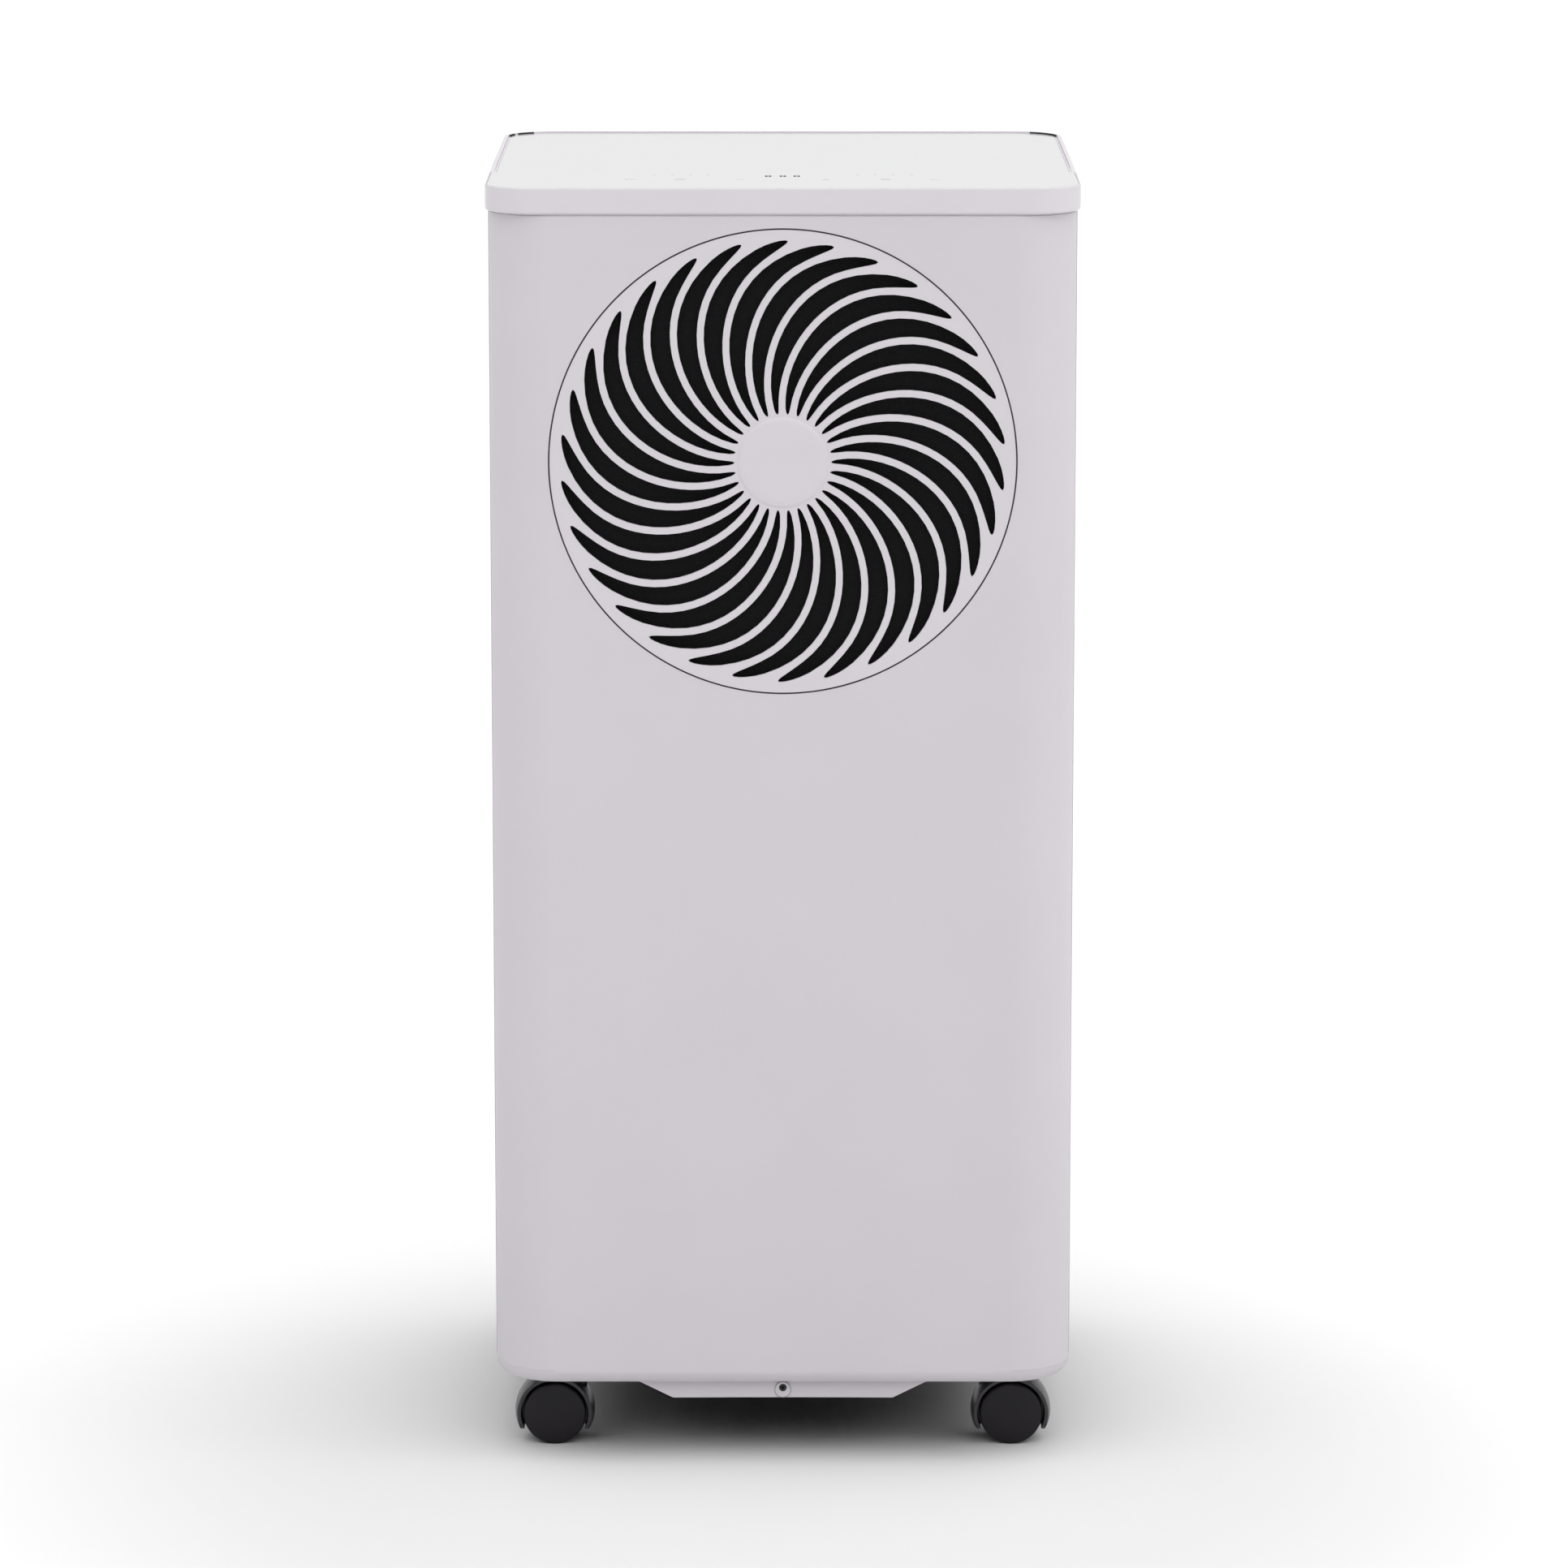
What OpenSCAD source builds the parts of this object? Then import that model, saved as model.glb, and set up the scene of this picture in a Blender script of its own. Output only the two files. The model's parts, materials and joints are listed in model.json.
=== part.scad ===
// Free-standing dehumidifier on casters: a tall cabinet with a round swirl grille in front,
// an intake louvre and a pull-out water tank behind, and a touch panel on the lid.
// Millimetres, +Z up, front face towards -Y, origin on the floor under the middle of the cabinet.

/* [Cabinet] */
// Width of the cabinet over its side walls
body_w = 320; // [316:1:330]
// Depth of the cabinet from front face to back face
body_d = 328; // [328:1:334]
// Height of the whole machine from the floor to the lid's rim
total_h = 711; // [711:1:730]
// Height of the cabinet's lower edge above the floor
body_z = 46; // [46:0.5:47]
// Plan radius of the cabinet's front corners
front_r = 34; // [30:1:34]
// Plan radius of the cabinet's rear corners
rear_r = 32; // [28:1:34]
// Radius that rolls the cabinet's lower edge under
roll_r = 8; // [6:0.5:8]
// Wall thickness of the moulded covers
wall = 2.5; // [2.3:0.1:2.6]
// How far the front cover and base sit inside the side walls
side_step = 0.6; // [0.4:0.1:0.8]

/* [Lid] */
// Height of the lid's front face
lid_h = 14; // [13.5:0.5:15]
// Plan radius of the lid's corners
lid_r = 28; // [26:1:30]
// How far the lid stands out past the cabinet all round
lid_lap = 1.2; // [1.2:0.1:1.6]
// Height of the lid's raised rim above the touch panel
rim_rise = 0.9; // [0.5:0.1:1.2]
// Width of the gap between the panel and the rim
panel_gap = 1.2; // [1:0.1:1.4]

/* [Front grille] */
// Radius of the grille disc
grille_r = 126.4; // [125:0.1:127]
// Height of the grille's centre above the floor
grille_z = 561.5; // [560:0.5:563]
// Number of swirl slots
slots = 30; // [28:1:30]
// Width of the rib between two slots
rib_w = 3.7; // [3:0.1:4.5]
// Radius of the cap in the middle
cap_r = 24.7; // [24:0.1:25]

/* [Fan] */
// Tip radius of the fan
fan_r = 106; // [96:1:107]
// Number of fan blades
blades = 7; // [5:1:8]
// Pitch of the blades
blade_pitch = 32; // [24:1:34]

/* [Coils] */
// Number of fins in each coil
fins = 27; // [15:1:31]
// Number of tube passes in each coil
passes = 8; // [8:2:8]

/* [Water tank] */
// Width of the tank
tank_w = 216; // [210:1:218]
// Height of the tank
tank_h = 224; // [218:1:226]
// How far the finger recess goes into the tank
grip_d = 22; // [18:1:26]

/* [Casters] */
// Radius of the wheels
wheel_r = 17.5; // [17:0.5:17.5]
// Distance of each wheel pair's middle from the cabinet's centre line
caster_x = 128; // [126:1:129]
// Distance of each caster from the middle, front to back
caster_y = 109; // [108:1:110]
// Distance from a caster's stem to its axle
trail = 9; // [8:1:9]

/* [Hidden] */
$fn = 64;
eps = 0.01;
front_y = -body_d/2;
back_y = body_d/2;
inner_x = body_w/2 - wall;              // inside face of a side wall
seam_y = front_y + front_r + 2;         // where the front cover meets the side walls
panel_z = total_h - rim_rise;           // top face of the touch panel
panel_t = 2.9;
lid_z = panel_z - lid_h;                // lower edge of the lid
body_top = lid_z - 1;
side_z = body_z + 8.5;                  // lower edge of the side walls
floor_z = body_z + 5.2;                 // floor inside the base
tray_z = body_z + 16;                   // top of the base's inner wall
rim_front_y = -76;                      // where the lid's raised rim starts
rim_w = 2.4;
fit = 0.3;                              // free gap between neighbouring covers
slide_fit = 0.05;                       // radial play of a pin that turns or slides

slot_line = [[27, 6], [59, 16], [111, -6], [103, -60]];
slot_steps = concat([-0.015, -0.011, -0.002], [for (i = [1:17]) 0.016 + (i - 1)*0.0555],
                    [0.94, 0.97, 0.992, 1.008, 1.015]);

intake = [240, 232];                    // width and height of the intake opening
intake_z = 558;
tank_z = 66;
tank_y = [18, back_y - 3];              // front and back walls of the tank
tank_mid = (tank_y[0] + tank_y[1])/2;
tank_top = tank_z + tank_h;
bay = [tank_w + 6, tank_h + 20];        // width and height of the tank's opening
bay_z = tank_z - 4 + bay[1]/2;
handle_pivot_z = tank_top + 8;
float_pivot = [tank_y[0] + 18, tank_top - 14];
recess_z = tank_top - 44;               // floor of the tank's finger recess

deck_z = 414;
deck_t = 3;
bulkhead_y = 8;
coil_w = 216;
coil_t = 26;
coil_z = [444, 672];                    // lower and upper edge of the fins
condenser_y = 52;
evaporator_y = 96;
tube_r = 4;
tube_end = coil_w/2 + 6;
tray = [240, 92, 22];
tray_y = 88;
spout_at = [60, 88];
fan_y = -132;                           // middle of the fan's blades
shaft_r = 4;
shroud_y = -110;
compressor_at = [-50, -78];
foot_reach = 58;
accumulator_at = [28, -60];
drier_at = [128, 24, 470];
grip_y = -30;                           // middle of the side grips
grip_z = 600;
grip_size = [30, 100];                  // height and length of a side grip
spigot_at = [-96, 356];                 // x and z of the hose spigot
spigot_r = 7;
elbow_y = 110;
gland_at = [104, 344];                  // x and z of the cable gland
drain_z = 42.2;
stem_r = 4;
axle_r = 2.4;
hood_r = 20.9;
hood_half = 12.6;
stem_x = caster_x - trail;
stem_top = 62;
CORNERS = ["fl", "fr", "rl", "rr"];
SCREWS = [for (x = [-119, 119], z = [76, 402, 684]) [x, z]];

function corner_x(c) = (c == "fl" || c == "rl") ? -1 : 1;
function corner_y(c) = (c == "fl" || c == "fr") ? -1 : 1;

// ---------- shared shapes ----------

function arc(cx, cy, r, from, to, n = 6) =
    [for (i = [0:n]) let (a = from + (to - from)*i/n) [cx + r*cos(a), cy + r*sin(a)]];

// Outline of a rectangle with round corners, centred on the origin
function round_rect(w, d, r, n = 6) = concat(
    arc(w/2 - r, d/2 - r, r, 0, 90, n), arc(r - w/2, d/2 - r, r, 90, 180, n),
    arc(r - w/2, r - d/2, r, 180, 270, n), arc(w/2 - r, r - d/2, r, 270, 360, n));

// Plan of a box with its front and rear corners rounded at their own radii
module plan(w, d, rf, rr) {
    translate([-w/2, rf - d/2]) square([w, d - rf - rr]);
    translate([rf - w/2, -d/2]) square([w - 2*rf, rf + 1]);
    translate([rr - w/2, d/2 - rr - 1]) square([w - 2*rr, rr + 1]);
    for (s = [-1, 1]) {
        translate([s*(w/2 - rf), rf - d/2]) circle(r = rf);
        translate([s*(w/2 - rr), d/2 - rr]) circle(r = rr);
    }
}

// The cabinet's plan, drawn in by a distance
module cabinet_plan(inset, extra_side = 0) {
    plan(body_w - 2*inset - 2*extra_side, body_d - 2*inset, front_r - inset, rear_r - inset);
}

module cabinet_block(inset, z0, z1, extra_side = 0) {
    translate([0, 0, z0]) linear_extrude(z1 - z0) cabinet_plan(inset, extra_side);
}

// A cabinet block whose lower edge is rolled under at radius f
module rolled_block(inset, z0, z1, f) {
    cabinet_block(inset, z0 + f, z1, side_step);
    hull() {
        for (a = [0:15:90])
            cabinet_block(inset + f*(1 - cos(a)), z0 + f*(1 - sin(a)), z0 + f*(1 - sin(a)) + eps,
                          side_step);
    }
}

module box(x, y, z) {
    translate([x[0], y[0], z[0]]) cube([x[1] - x[0], y[1] - y[0], z[1] - z[0]]);
}

// Cylinder along Y, from y0 to y1
module rod_y(r, y0, y1, x = 0, z = 0, fn = 64) {
    translate([x, y1, z]) rotate([90, 0, 0]) cylinder(r = r, h = y1 - y0, $fn = fn);
}

module ring_y(r_out, r_in, y0, y1, x = 0, z = 0) {
    difference() {
        rod_y(r_out, y0, y1, x, z, 128);
        rod_y(r_in, y0 - 1, y1 + 1, x, z, 128);
    }
}

// Extrudes an outline drawn in X and Z from y0 to y1
module plate_y(y0, y1) {
    translate([0, y1, 0]) rotate([90, 0, 0]) linear_extrude(y1 - y0) children();
}

// Pipe through a list of points, with a ball at each bend
module pipe_run(points, r) {
    for (i = [0:len(points) - 2]) {
        d = points[i + 1] - points[i];
        h = norm(d);
        translate(points[i]) rotate([0, acos(d[2]/h), atan2(d[1], d[0])]) cylinder(r = r, h = h, $fn = 32);
    }
    for (i = [1:len(points) - 2]) translate(points[i]) sphere(r = r*1.2, $fn = 32);
}

// ---------- cabinet ----------

module front_cover() color("#cfcad0") {
    tongue = inner_x - side_step;
    difference() {
        rolled_block(0, body_z, body_top, roll_r);
        rolled_block(wall, body_z + wall, total_h, roll_r - wall);
        box([-200, 200], [seam_y, 200], [0, total_h]);
        box([-90, 90], [front_y + 8.2, 200], [0, body_z + wall + 0.2]);
        rod_y(grille_r + 0.5, front_y - 5, front_y + 10, 0, grille_z, 128);
    }
    // ledge that the grille sits on
    ring_y(grille_r + 4, grille_r - 5, front_y + 2.3, front_y + 4.4, 0, grille_z);
    // tongues that hook inside the side walls
    for (s = [-1, 1]) box(s > 0 ? [tongue - 2, tongue + 0.4] : [-tongue - 0.4, 2 - tongue],
                          [seam_y - 6, seam_y + 8], [80, body_top - 16]);
}

module rear_cover() color("#cfcad0") {
    difference() {
        cabinet_block(0, side_z, body_top);
        cabinet_block(wall, side_z - 1, body_top + 1);
        box([-200, 200], [-200, seam_y + 0.4], [0, total_h]);
        plate_y(back_y - 10, back_y + 5) translate([0, intake_z])
            polygon(round_rect(intake[0], intake[1], 10));
        plate_y(back_y - 10, back_y + 5) translate([0, bay_z]) polygon(round_rect(bay[0], bay[1], 10));
        for (s = [-1, 1]) translate([s*body_w/2, grip_y, grip_z]) rotate([0, 90, 0])
            translate([0, 0, -6]) linear_extrude(12) polygon(round_rect(grip_size[0], grip_size[1], 12));
        rod_y(17, back_y - 10, back_y + 5, spigot_at[0], spigot_at[1]);
        rod_y(7, back_y - 10, back_y + 5, gland_at[0], gland_at[1]);
        for (p = SCREWS) {
            rod_y(2.2, back_y - 20, back_y + 5, p[0], p[1]);
            rod_y(4.2, back_y - 1.2, back_y + 5, p[0], p[1]);
        }
    }
    for (p = SCREWS) difference() {
        rod_y(4.5, back_y - 12, back_y - wall + 0.2, p[0], p[1]);
        rod_y(2.2, back_y - 13, back_y, p[0], p[1]);
    }
    // ledge that the intake grille rests on
    difference() {
        plate_y(back_y - 5, back_y - wall + 0.1) translate([0, intake_z])
            polygon(round_rect(intake[0] + 6, intake[1] + 6, 12));
        plate_y(back_y - 9, back_y + 5) translate([0, intake_z])
            polygon(round_rect(intake[0] - 8, intake[1] - 8, 7));
    }
}

// Outline of the sump under the base, drawn in X and Z
function sump_outline(inset) = [
    [-86 + inset*1.3, body_z + 2.8], [-61 + inset*0.6, body_z - 9.7 + inset],
    [61 - inset*0.6, body_z - 9.7 + inset], [86 - inset*1.3, body_z + 2.8]];

// Places the three compressor feet
module at_feet() {
    for (a = [90:120:330]) translate([compressor_at[0], compressor_at[1], 0]) rotate(a)
        translate([foot_reach, 0, 0]) children();
}

module at_casters() {
    for (c = CORNERS) translate([corner_x(c)*stem_x, corner_y(c)*caster_y, 0]) children();
}

module base_pan() color("#c9c4ca") {
    sump_y = [front_y + 8.5, -60];
    difference() {
        union() {
            difference() {
                rolled_block(0, body_z, side_z - fit, roll_r);
                box([-200, 200], [-200, seam_y + 0.6], [0, 200]);
            }
            rolled_block(wall + 0.5, body_z + wall + 0.3, tray_z, roll_r - wall);
            plate_y(sump_y[0], sump_y[1]) polygon(sump_outline(0));
            rod_y(4.6, sump_y[0] - 0.6, sump_y[0] + 0.5, 0, drain_z - 1.1);
        }
        cabinet_block(2*wall, floor_z, 100, side_step);
        difference() {
            plate_y(sump_y[0] + wall, sump_y[1] - 4)
                polygon(concat(sump_outline(wall), [[70, body_z + 20], [-70, body_z + 20]]));
            at_feet() cylinder(r = 12, h = floor_z);
        }
        rod_y(2.1, sump_y[0] - 2, sump_y[0] + 8, 0, drain_z, 32);
        at_casters() cylinder(r = stem_r + 0.08, h = 70);
    }
    at_casters() difference() {
        translate([0, 0, floor_z - 1]) cylinder(r = stem_r + 4, h = stem_top + 2 - floor_z + 1);
        cylinder(r = stem_r + 0.08, h = stem_top + 0.3);
    }
    // rails that the tank slides on
    for (s = [-1, 1]) box([s*90 - 5, s*90 + 5], [20, back_y - 12], [floor_z - 1, tank_z - 0.4]);
    // posts that the rear cover is screwed to
    for (s = [-1, 1]) difference() {
        box([s*119 - 6, s*119 + 6], [back_y - 24, back_y - 12.3], [floor_z - 1, 84]);
        rod_y(1.95, back_y - 23, back_y, s*119, SCREWS[0][1], 32);
    }
}

module lid_outline(inset) {
    plan(body_w + 2*lid_lap - 2*inset, body_d + 2*lid_lap - 2*inset, lid_r - inset, lid_r - inset);
}

// The touch panel's outline: nearly full width in front, inside the raised rim further back
module panel_outline(grow) {
    intersection() {
        lid_outline(1 - grow);
        translate([-200, -200]) square([400, 200 + rim_front_y + grow]);
    }
    intersection() {
        lid_outline(rim_w + panel_gap - grow);
        translate([-200, rim_front_y - 1]) square([400, 400]);
    }
}

module lid_frame() color("#d7d2d8") {
    plate_z = panel_z - panel_t - wall;
    difference() {
        union() {
            translate([0, 0, lid_z]) linear_extrude(total_h - lid_z) lid_outline(0);
            // skirt and lugs that reach down inside the cabinet
            difference() {
                cabinet_block(wall + 0.5, body_top - 6, lid_z + 1, side_step);
                cabinet_block(wall + 2.5, body_top - 9, lid_z + 3, side_step);
                box([-60, 60], [front_y, front_y + 20], [body_top - 9, body_top]);
            }
            for (s = [-1, 1]) box([s*119 - 6, s*119 + 6], [back_y - 24, back_y - 12.3], [677, lid_z + 2]);
        }
        translate([0, 0, lid_z + wall]) linear_extrude(plate_z - lid_z - wall) lid_outline(rim_w + 0.2);
        translate([0, 0, lid_z - 1]) linear_extrude(wall + 2) lid_outline(18);
        translate([0, 0, panel_z - panel_t]) linear_extrude(20) panel_outline(0.1);
        // dark gap between the panel and the rim
        translate([0, 0, panel_z - panel_t - 1.6]) linear_extrude(20) difference() {
            lid_outline(rim_w);
            lid_outline(rim_w + panel_gap);
            translate([-200, -200]) square([400, 200 + rim_front_y]);
        }
        box([-200, 200], [-200, rim_front_y], [panel_z, total_h + 1]);
        box([-100, 100], [front_y + 32, front_y + 80], [plate_z - 1, panel_z]);
        for (s = [-1, 1]) rod_y(1.95, back_y - 23, back_y, s*119, SCREWS[2][1], 32);
    }
}

module top_panel() color("#f2f2f2") {
    translate([0, 0, panel_z - panel_t]) linear_extrude(panel_t) panel_outline(0);
}

module display_board() color("#1f6b3a") {
    top = panel_z - panel_t - wall;
    box([-104, 104], [front_y + 28, front_y + 84], [top - 1.6, top]);
    // digit module, touch pads and indicator lamps
    box([-13, 13], [front_y + 58, front_y + 74], [top - 0.1, top + 2.3]);
    for (i = [0:2], s = [-1, 1])
        translate([s*(23 + 29.5*i), front_y + 45, top - 0.1]) cylinder(r = 6, h = 2.4, $fn = 32);
    for (i = [0:3], s = [-1, 1])
        translate([s*(41 + 9.7*i), front_y + 76, top - 0.1]) cylinder(r = 1.5, h = 2.2, $fn = 24);
}

// ---------- front grille ----------

function slot_point(t) =
    slot_line[0]*pow(1 - t, 3) + 3*slot_line[1]*t*pow(1 - t, 2)
    + 3*slot_line[2]*t*t*(1 - t) + slot_line[3]*pow(t, 3);

function slot_heading(t) = let (d = slot_point(t + 0.001) - slot_point(t - 0.001)) d/norm(d);

// The slots' ends are round: this falls from 1 to 0 over each end
function end_round(t) =
    let (a = t < 0.016 ? (0.016 - t)/0.031 : t > 0.9 ? (t - 0.9)/0.115 : 0) sqrt(max(0, 1 - a*a));

// Half the slot's width: what is left of its share of the disc beside a rib of constant width
function slot_half(t) =
    let (p = slot_point(t), share = (2*PI/slots)*abs(p*slot_heading(t)))
    end_round(t)*(share - rib_w)/2;

function slot_side(t, s) =
    let (d = slot_heading(t)) slot_point(t) + s*slot_half(t)*[-d[1], d[0]];

function slot_outline() = concat(
    [for (t = slot_steps) slot_side(t, 1)],
    [for (i = [len(slot_steps) - 2:-1:1]) slot_side(slot_steps[i], -1)]);

module front_grille() color("#d5d0d6") {
    translate([0, front_y + 2.3, grille_z]) rotate([90, 0, 0]) linear_extrude(2.3) difference() {
        circle(r = grille_r, $fn = 128);
        circle(r = cap_r - 3, $fn = 64);
        for (i = [0:slots - 1]) rotate(i*360/slots) polygon(slot_outline());
    }
    ring_y(cap_r, cap_r - 3, front_y + 2.1, front_y + 5.2, 0, grille_z);
}

module grille_cap() color("#d5d0d6") {
    translate([0, front_y, grille_z]) rotate([90, 0, 0]) rotate_extrude($fn = 96) polygon(concat(
        [[0, -2.2], [cap_r - 3.05, -2.2], [cap_r - 3.05, 0], [cap_r, 0]],
        [for (a = [0:15:75]) [cap_r - 1.5 + 1.5*cos(a), 0.8*sin(a)]],
        [[0, 1.15]]));
}

module grille_net() color("#1c1c1c") {
    ring_y(grille_r + 3.4, grille_r - 9, front_y + 4.4, front_y + 6, 0, grille_z);
    rod_y(grille_r - 8.5, front_y + 5.2, front_y + 6, 0, grille_z, 128);
}

// ---------- intake and filter ----------

module intake_grille() color("#cfcad0") {
    w = intake[0] - 1.2;
    h = intake[1] - 1.2;
    rows = 17;
    pitch = (h - 26)/rows;
    plate_y(back_y - 2.4, back_y) translate([0, intake_z]) difference() {
        polygon(round_rect(w, h, 9.4));
        for (i = [0:rows - 1], x = [-1, 0, 1])
            translate([x*75, -h/2 + 13 + pitch*(i + 0.5)]) square([68, pitch*0.6], center = true);
    }
    // clip tongues above and below the filter
    for (x = [-90, 90], s = [-1, 1])
        box([x - 8, x + 8], [back_y - 7, back_y - 2.2],
            s > 0 ? [intake_z + h/2 - 6.5, intake_z + h/2 - 4.5] : [intake_z - h/2 + 4.5, intake_z - h/2 + 6.5]);
}

module filter_frame() color("#3a3a3c") {
    w = intake[0] - 16;
    h = intake[1] - 16;
    plate_y(back_y - 6.4, back_y - 2.7) translate([0, intake_z]) difference() {
        polygon(round_rect(w, h, 6));
        for (i = [-1, 0, 1], j = [-1, 1])
            translate([i*(w - 8)/3, j*(h - 8)/4]) square([(w - 8)/3 - 3, (h - 8)/2 - 3], center = true);
    }
}

module filter_mesh() color("#55585c") {
    plate_y(back_y - 7.2, back_y - 6.4) translate([0, intake_z])
        polygon(round_rect(intake[0] - 20, intake[1] - 20, 4));
}

// ---------- small outside pieces ----------

module side_grips() color("#c9c4ca") {
    h = grip_size[0];
    w = grip_size[1];
    for (s = [-1, 1]) translate([s*body_w/2, grip_y, grip_z]) rotate([0, s*90, 0]) difference() {
        union() {
            translate([0, 0, -22]) linear_extrude(21.7) polygon(round_rect(h - 0.6, w - 0.6, 11.7));
            translate([0, 0, -wall - 2]) linear_extrude(2) polygon(round_rect(h + 8, w + 8, 14));
        }
        translate([0, 0, -19.8]) linear_extrude(30) polygon(round_rect(h - 4.8, w - 4.8, 9.6));
    }
}

module case_screws() color("#8c8f94") {
    for (p = SCREWS) difference() {
        union() {
            rod_y(3.8, back_y - 1.1, back_y - 0.1, p[0], p[1], 32);
            rod_y(1.9, back_y - 22, back_y - 1, p[0], p[1], 32);
        }
        for (a = [0, 90]) translate([p[0], back_y, p[1]]) rotate([0, a, 0])
            cube([4, 1.2, 0.9], center = true);
    }
}

module drain_plug() color("#2a2829") {
    difference() {
        rod_y(2.1 - slide_fit, front_y + 8.1, front_y + 15, 0, drain_z, 32);
        rod_y(0.8, front_y + 7, front_y + 9.5, 0, drain_z, 24);
    }
}

// Elbow from the drip tray's overflow to a hose spigot in a round recess of the back
module drain_spigot() color("#e8e8ea") {
    x = spigot_at[0];
    z = spigot_at[1];
    difference() {
        union() {
            ring_y(16.8, 14.6, back_y - 24, back_y - 0.6, x, z);
            rod_y(16.8, back_y - 26, back_y - 23.9, x, z);
            ring_y(20, 16.5, back_y - 5, back_y - wall, x, z);
            rod_y(spigot_r, elbow_y, back_y - 3.2, x, z);
            translate([x, elbow_y, z - 10]) cylinder(r = 10, h = 404 - z + 10);
        }
        rod_y(4.5, elbow_y, back_y, x, z);
        translate([x, elbow_y, z - 6]) cylinder(r = 5, h = 60);
        translate([x, elbow_y, 400 - 20]) cylinder(r = 7.55, h = 60);
    }
}

module hose_plug() color("#2a2829") {
    rod_y(4.5 - slide_fit, back_y - 14, back_y - 3.1, spigot_at[0], spigot_at[1]);
    rod_y(6.6, back_y - 3.1, back_y - 0.6, spigot_at[0], spigot_at[1]);
}

module cable_gland() color("#1b1b1b") {
    difference() {
        union() {
            rod_y(9.5, back_y, back_y + 1, gland_at[0], gland_at[1]);
            rod_y(6.8, back_y - 8, back_y + 0.1, gland_at[0], gland_at[1]);
            rod_y(9.5, back_y - 9, back_y - wall, gland_at[0], gland_at[1]);
        }
        rod_y(3.6, back_y - 10, back_y + 2, gland_at[0], gland_at[1], 32);
    }
}

// ---------- fan ----------

// Places arms that radiate in the fan's plane
module at_arms() {
    for (a = [45:90:315]) translate([0, 0, grille_z]) rotate([0, a, 0]) children();
}

module fan_shroud() color("#3b3d40") {
    difference() {
        union() {
            box([-150, 150], [shroud_y, shroud_y + 3], [deck_z + deck_t, grille_z + 124]);
            rod_y(fan_r + 8, shroud_y - 41, shroud_y + 3, 0, grille_z, 128);
        }
        rod_y(fan_r + 4, -200, -100, 0, grille_z, 128);
    }
}

module motor_bracket() color("#9a9da1") {
    difference() {
        union() {
            rod_y(34, shroud_y + 4.5, shroud_y + 7.5, 0, grille_z);
            at_arms() translate([20, shroud_y + 4.5, -8]) cube([fan_r - 4, 3, 16]);
            at_arms() translate([fan_r + 6, shroud_y + 3, -8]) cube([10, 2, 16]);
        }
        rod_y(12, shroud_y, shroud_y + 10, 0, grille_z);
    }
}

module fan_motor() color("#b9bcc0") {
    front = shroud_y + 7.5;
    difference() {
        union() {
            rod_y(40, front, front + 50, 0, grille_z);
            rod_y(43, front + 22, front + 28, 0, grille_z);
            rod_y(11.5, front - 6, front + 1, 0, grille_z);
            rod_y(14, front + 49, front + 54, 0, grille_z);
        }
        rod_y(shaft_r + 0.08, front - 10, front + 53, 0, grille_z);
    }
}

module motor_shaft() color("#d0d2d5") {
    rod_y(shaft_r, fan_y - 20, shroud_y + 60, 0, grille_z);
}

module fan_blades() color("#2b2b2d") {
    difference() {
        union() {
            rod_y(30, fan_y - 14, fan_y + 14, 0, grille_z);
            intersection() {
                rod_y(fan_r, fan_y - 20, fan_y + 20, 0, grille_z, 128);
                for (i = [0:blades - 1]) translate([0, fan_y, grille_z]) rotate([0, i*360/blades, 0])
                    translate([20, 0, 0]) rotate([blade_pitch, 0, 0])
                        translate([0, -1.2, -24]) cube([fan_r, 2.4, 48]);
            }
        }
        rod_y(26, fan_y - 8, fan_y + 30, 0, grille_z);
        rod_y(shaft_r + 0.02, fan_y - 30, fan_y + 30, 0, grille_z);
    }
    ring_y(9, shaft_r + 0.02, fan_y - 9, fan_y + 12, 0, grille_z);
}

module fan_nut() color("#c0c2c5") {
    difference() {
        translate([0, fan_y - 14, grille_z]) rotate([90, 0, 0]) cylinder(r = 8, h = 5, $fn = 6);
        rod_y(shaft_r + 0.02, fan_y - 30, fan_y, 0, grille_z);
    }
}

// ---------- refrigeration circuit ----------

function pass_z(i) = coil_z[0] + (coil_z[1] - coil_z[0])*(i + 0.5)/passes;

module fin_pack(y) {
    pitch = coil_w/(fins - 1);
    for (i = [0:fins - 1]) translate([-coil_w/2 + pitch*i - 0.3, 0, 0]) rotate([90, 0, 90])
        linear_extrude(0.6) difference() {
            translate([y, coil_z[0]]) square([coil_t, coil_z[1] - coil_z[0]]);
            for (k = [0:passes - 1]) translate([y + coil_t/2, pass_z(k)]) circle(r = tube_r + 0.02, $fn = 32);
        }
}

// Serpentine tube with both free ends on the +X side
module tube_pack(y) {
    bend = (pass_z(1) - pass_z(0))/2;
    for (k = [0:passes - 1]) translate([-tube_end, y + coil_t/2, pass_z(k)]) rotate([0, 90, 0])
        cylinder(r = tube_r, h = 2*tube_end, $fn = 32);
    for (k = [0:passes - 2]) let (s = k % 2 == 0 ? -1 : 1)
        translate([s*tube_end, y + coil_t/2, pass_z(k) + bend]) rotate([90, 0, 0])
            rotate(s > 0 ? -90 : 90) rotate_extrude(angle = 180, $fn = 48)
                translate([bend, 0]) circle(r = tube_r, $fn = 32);
}

module evaporator_fins() color("#c9ccd0") fin_pack(evaporator_y);
module evaporator_tubes() color("#b8734a") tube_pack(evaporator_y);
module condenser_fins() color("#b3b7bc") fin_pack(condenser_y);
module condenser_tubes() color("#b8734a") tube_pack(condenser_y);

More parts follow.
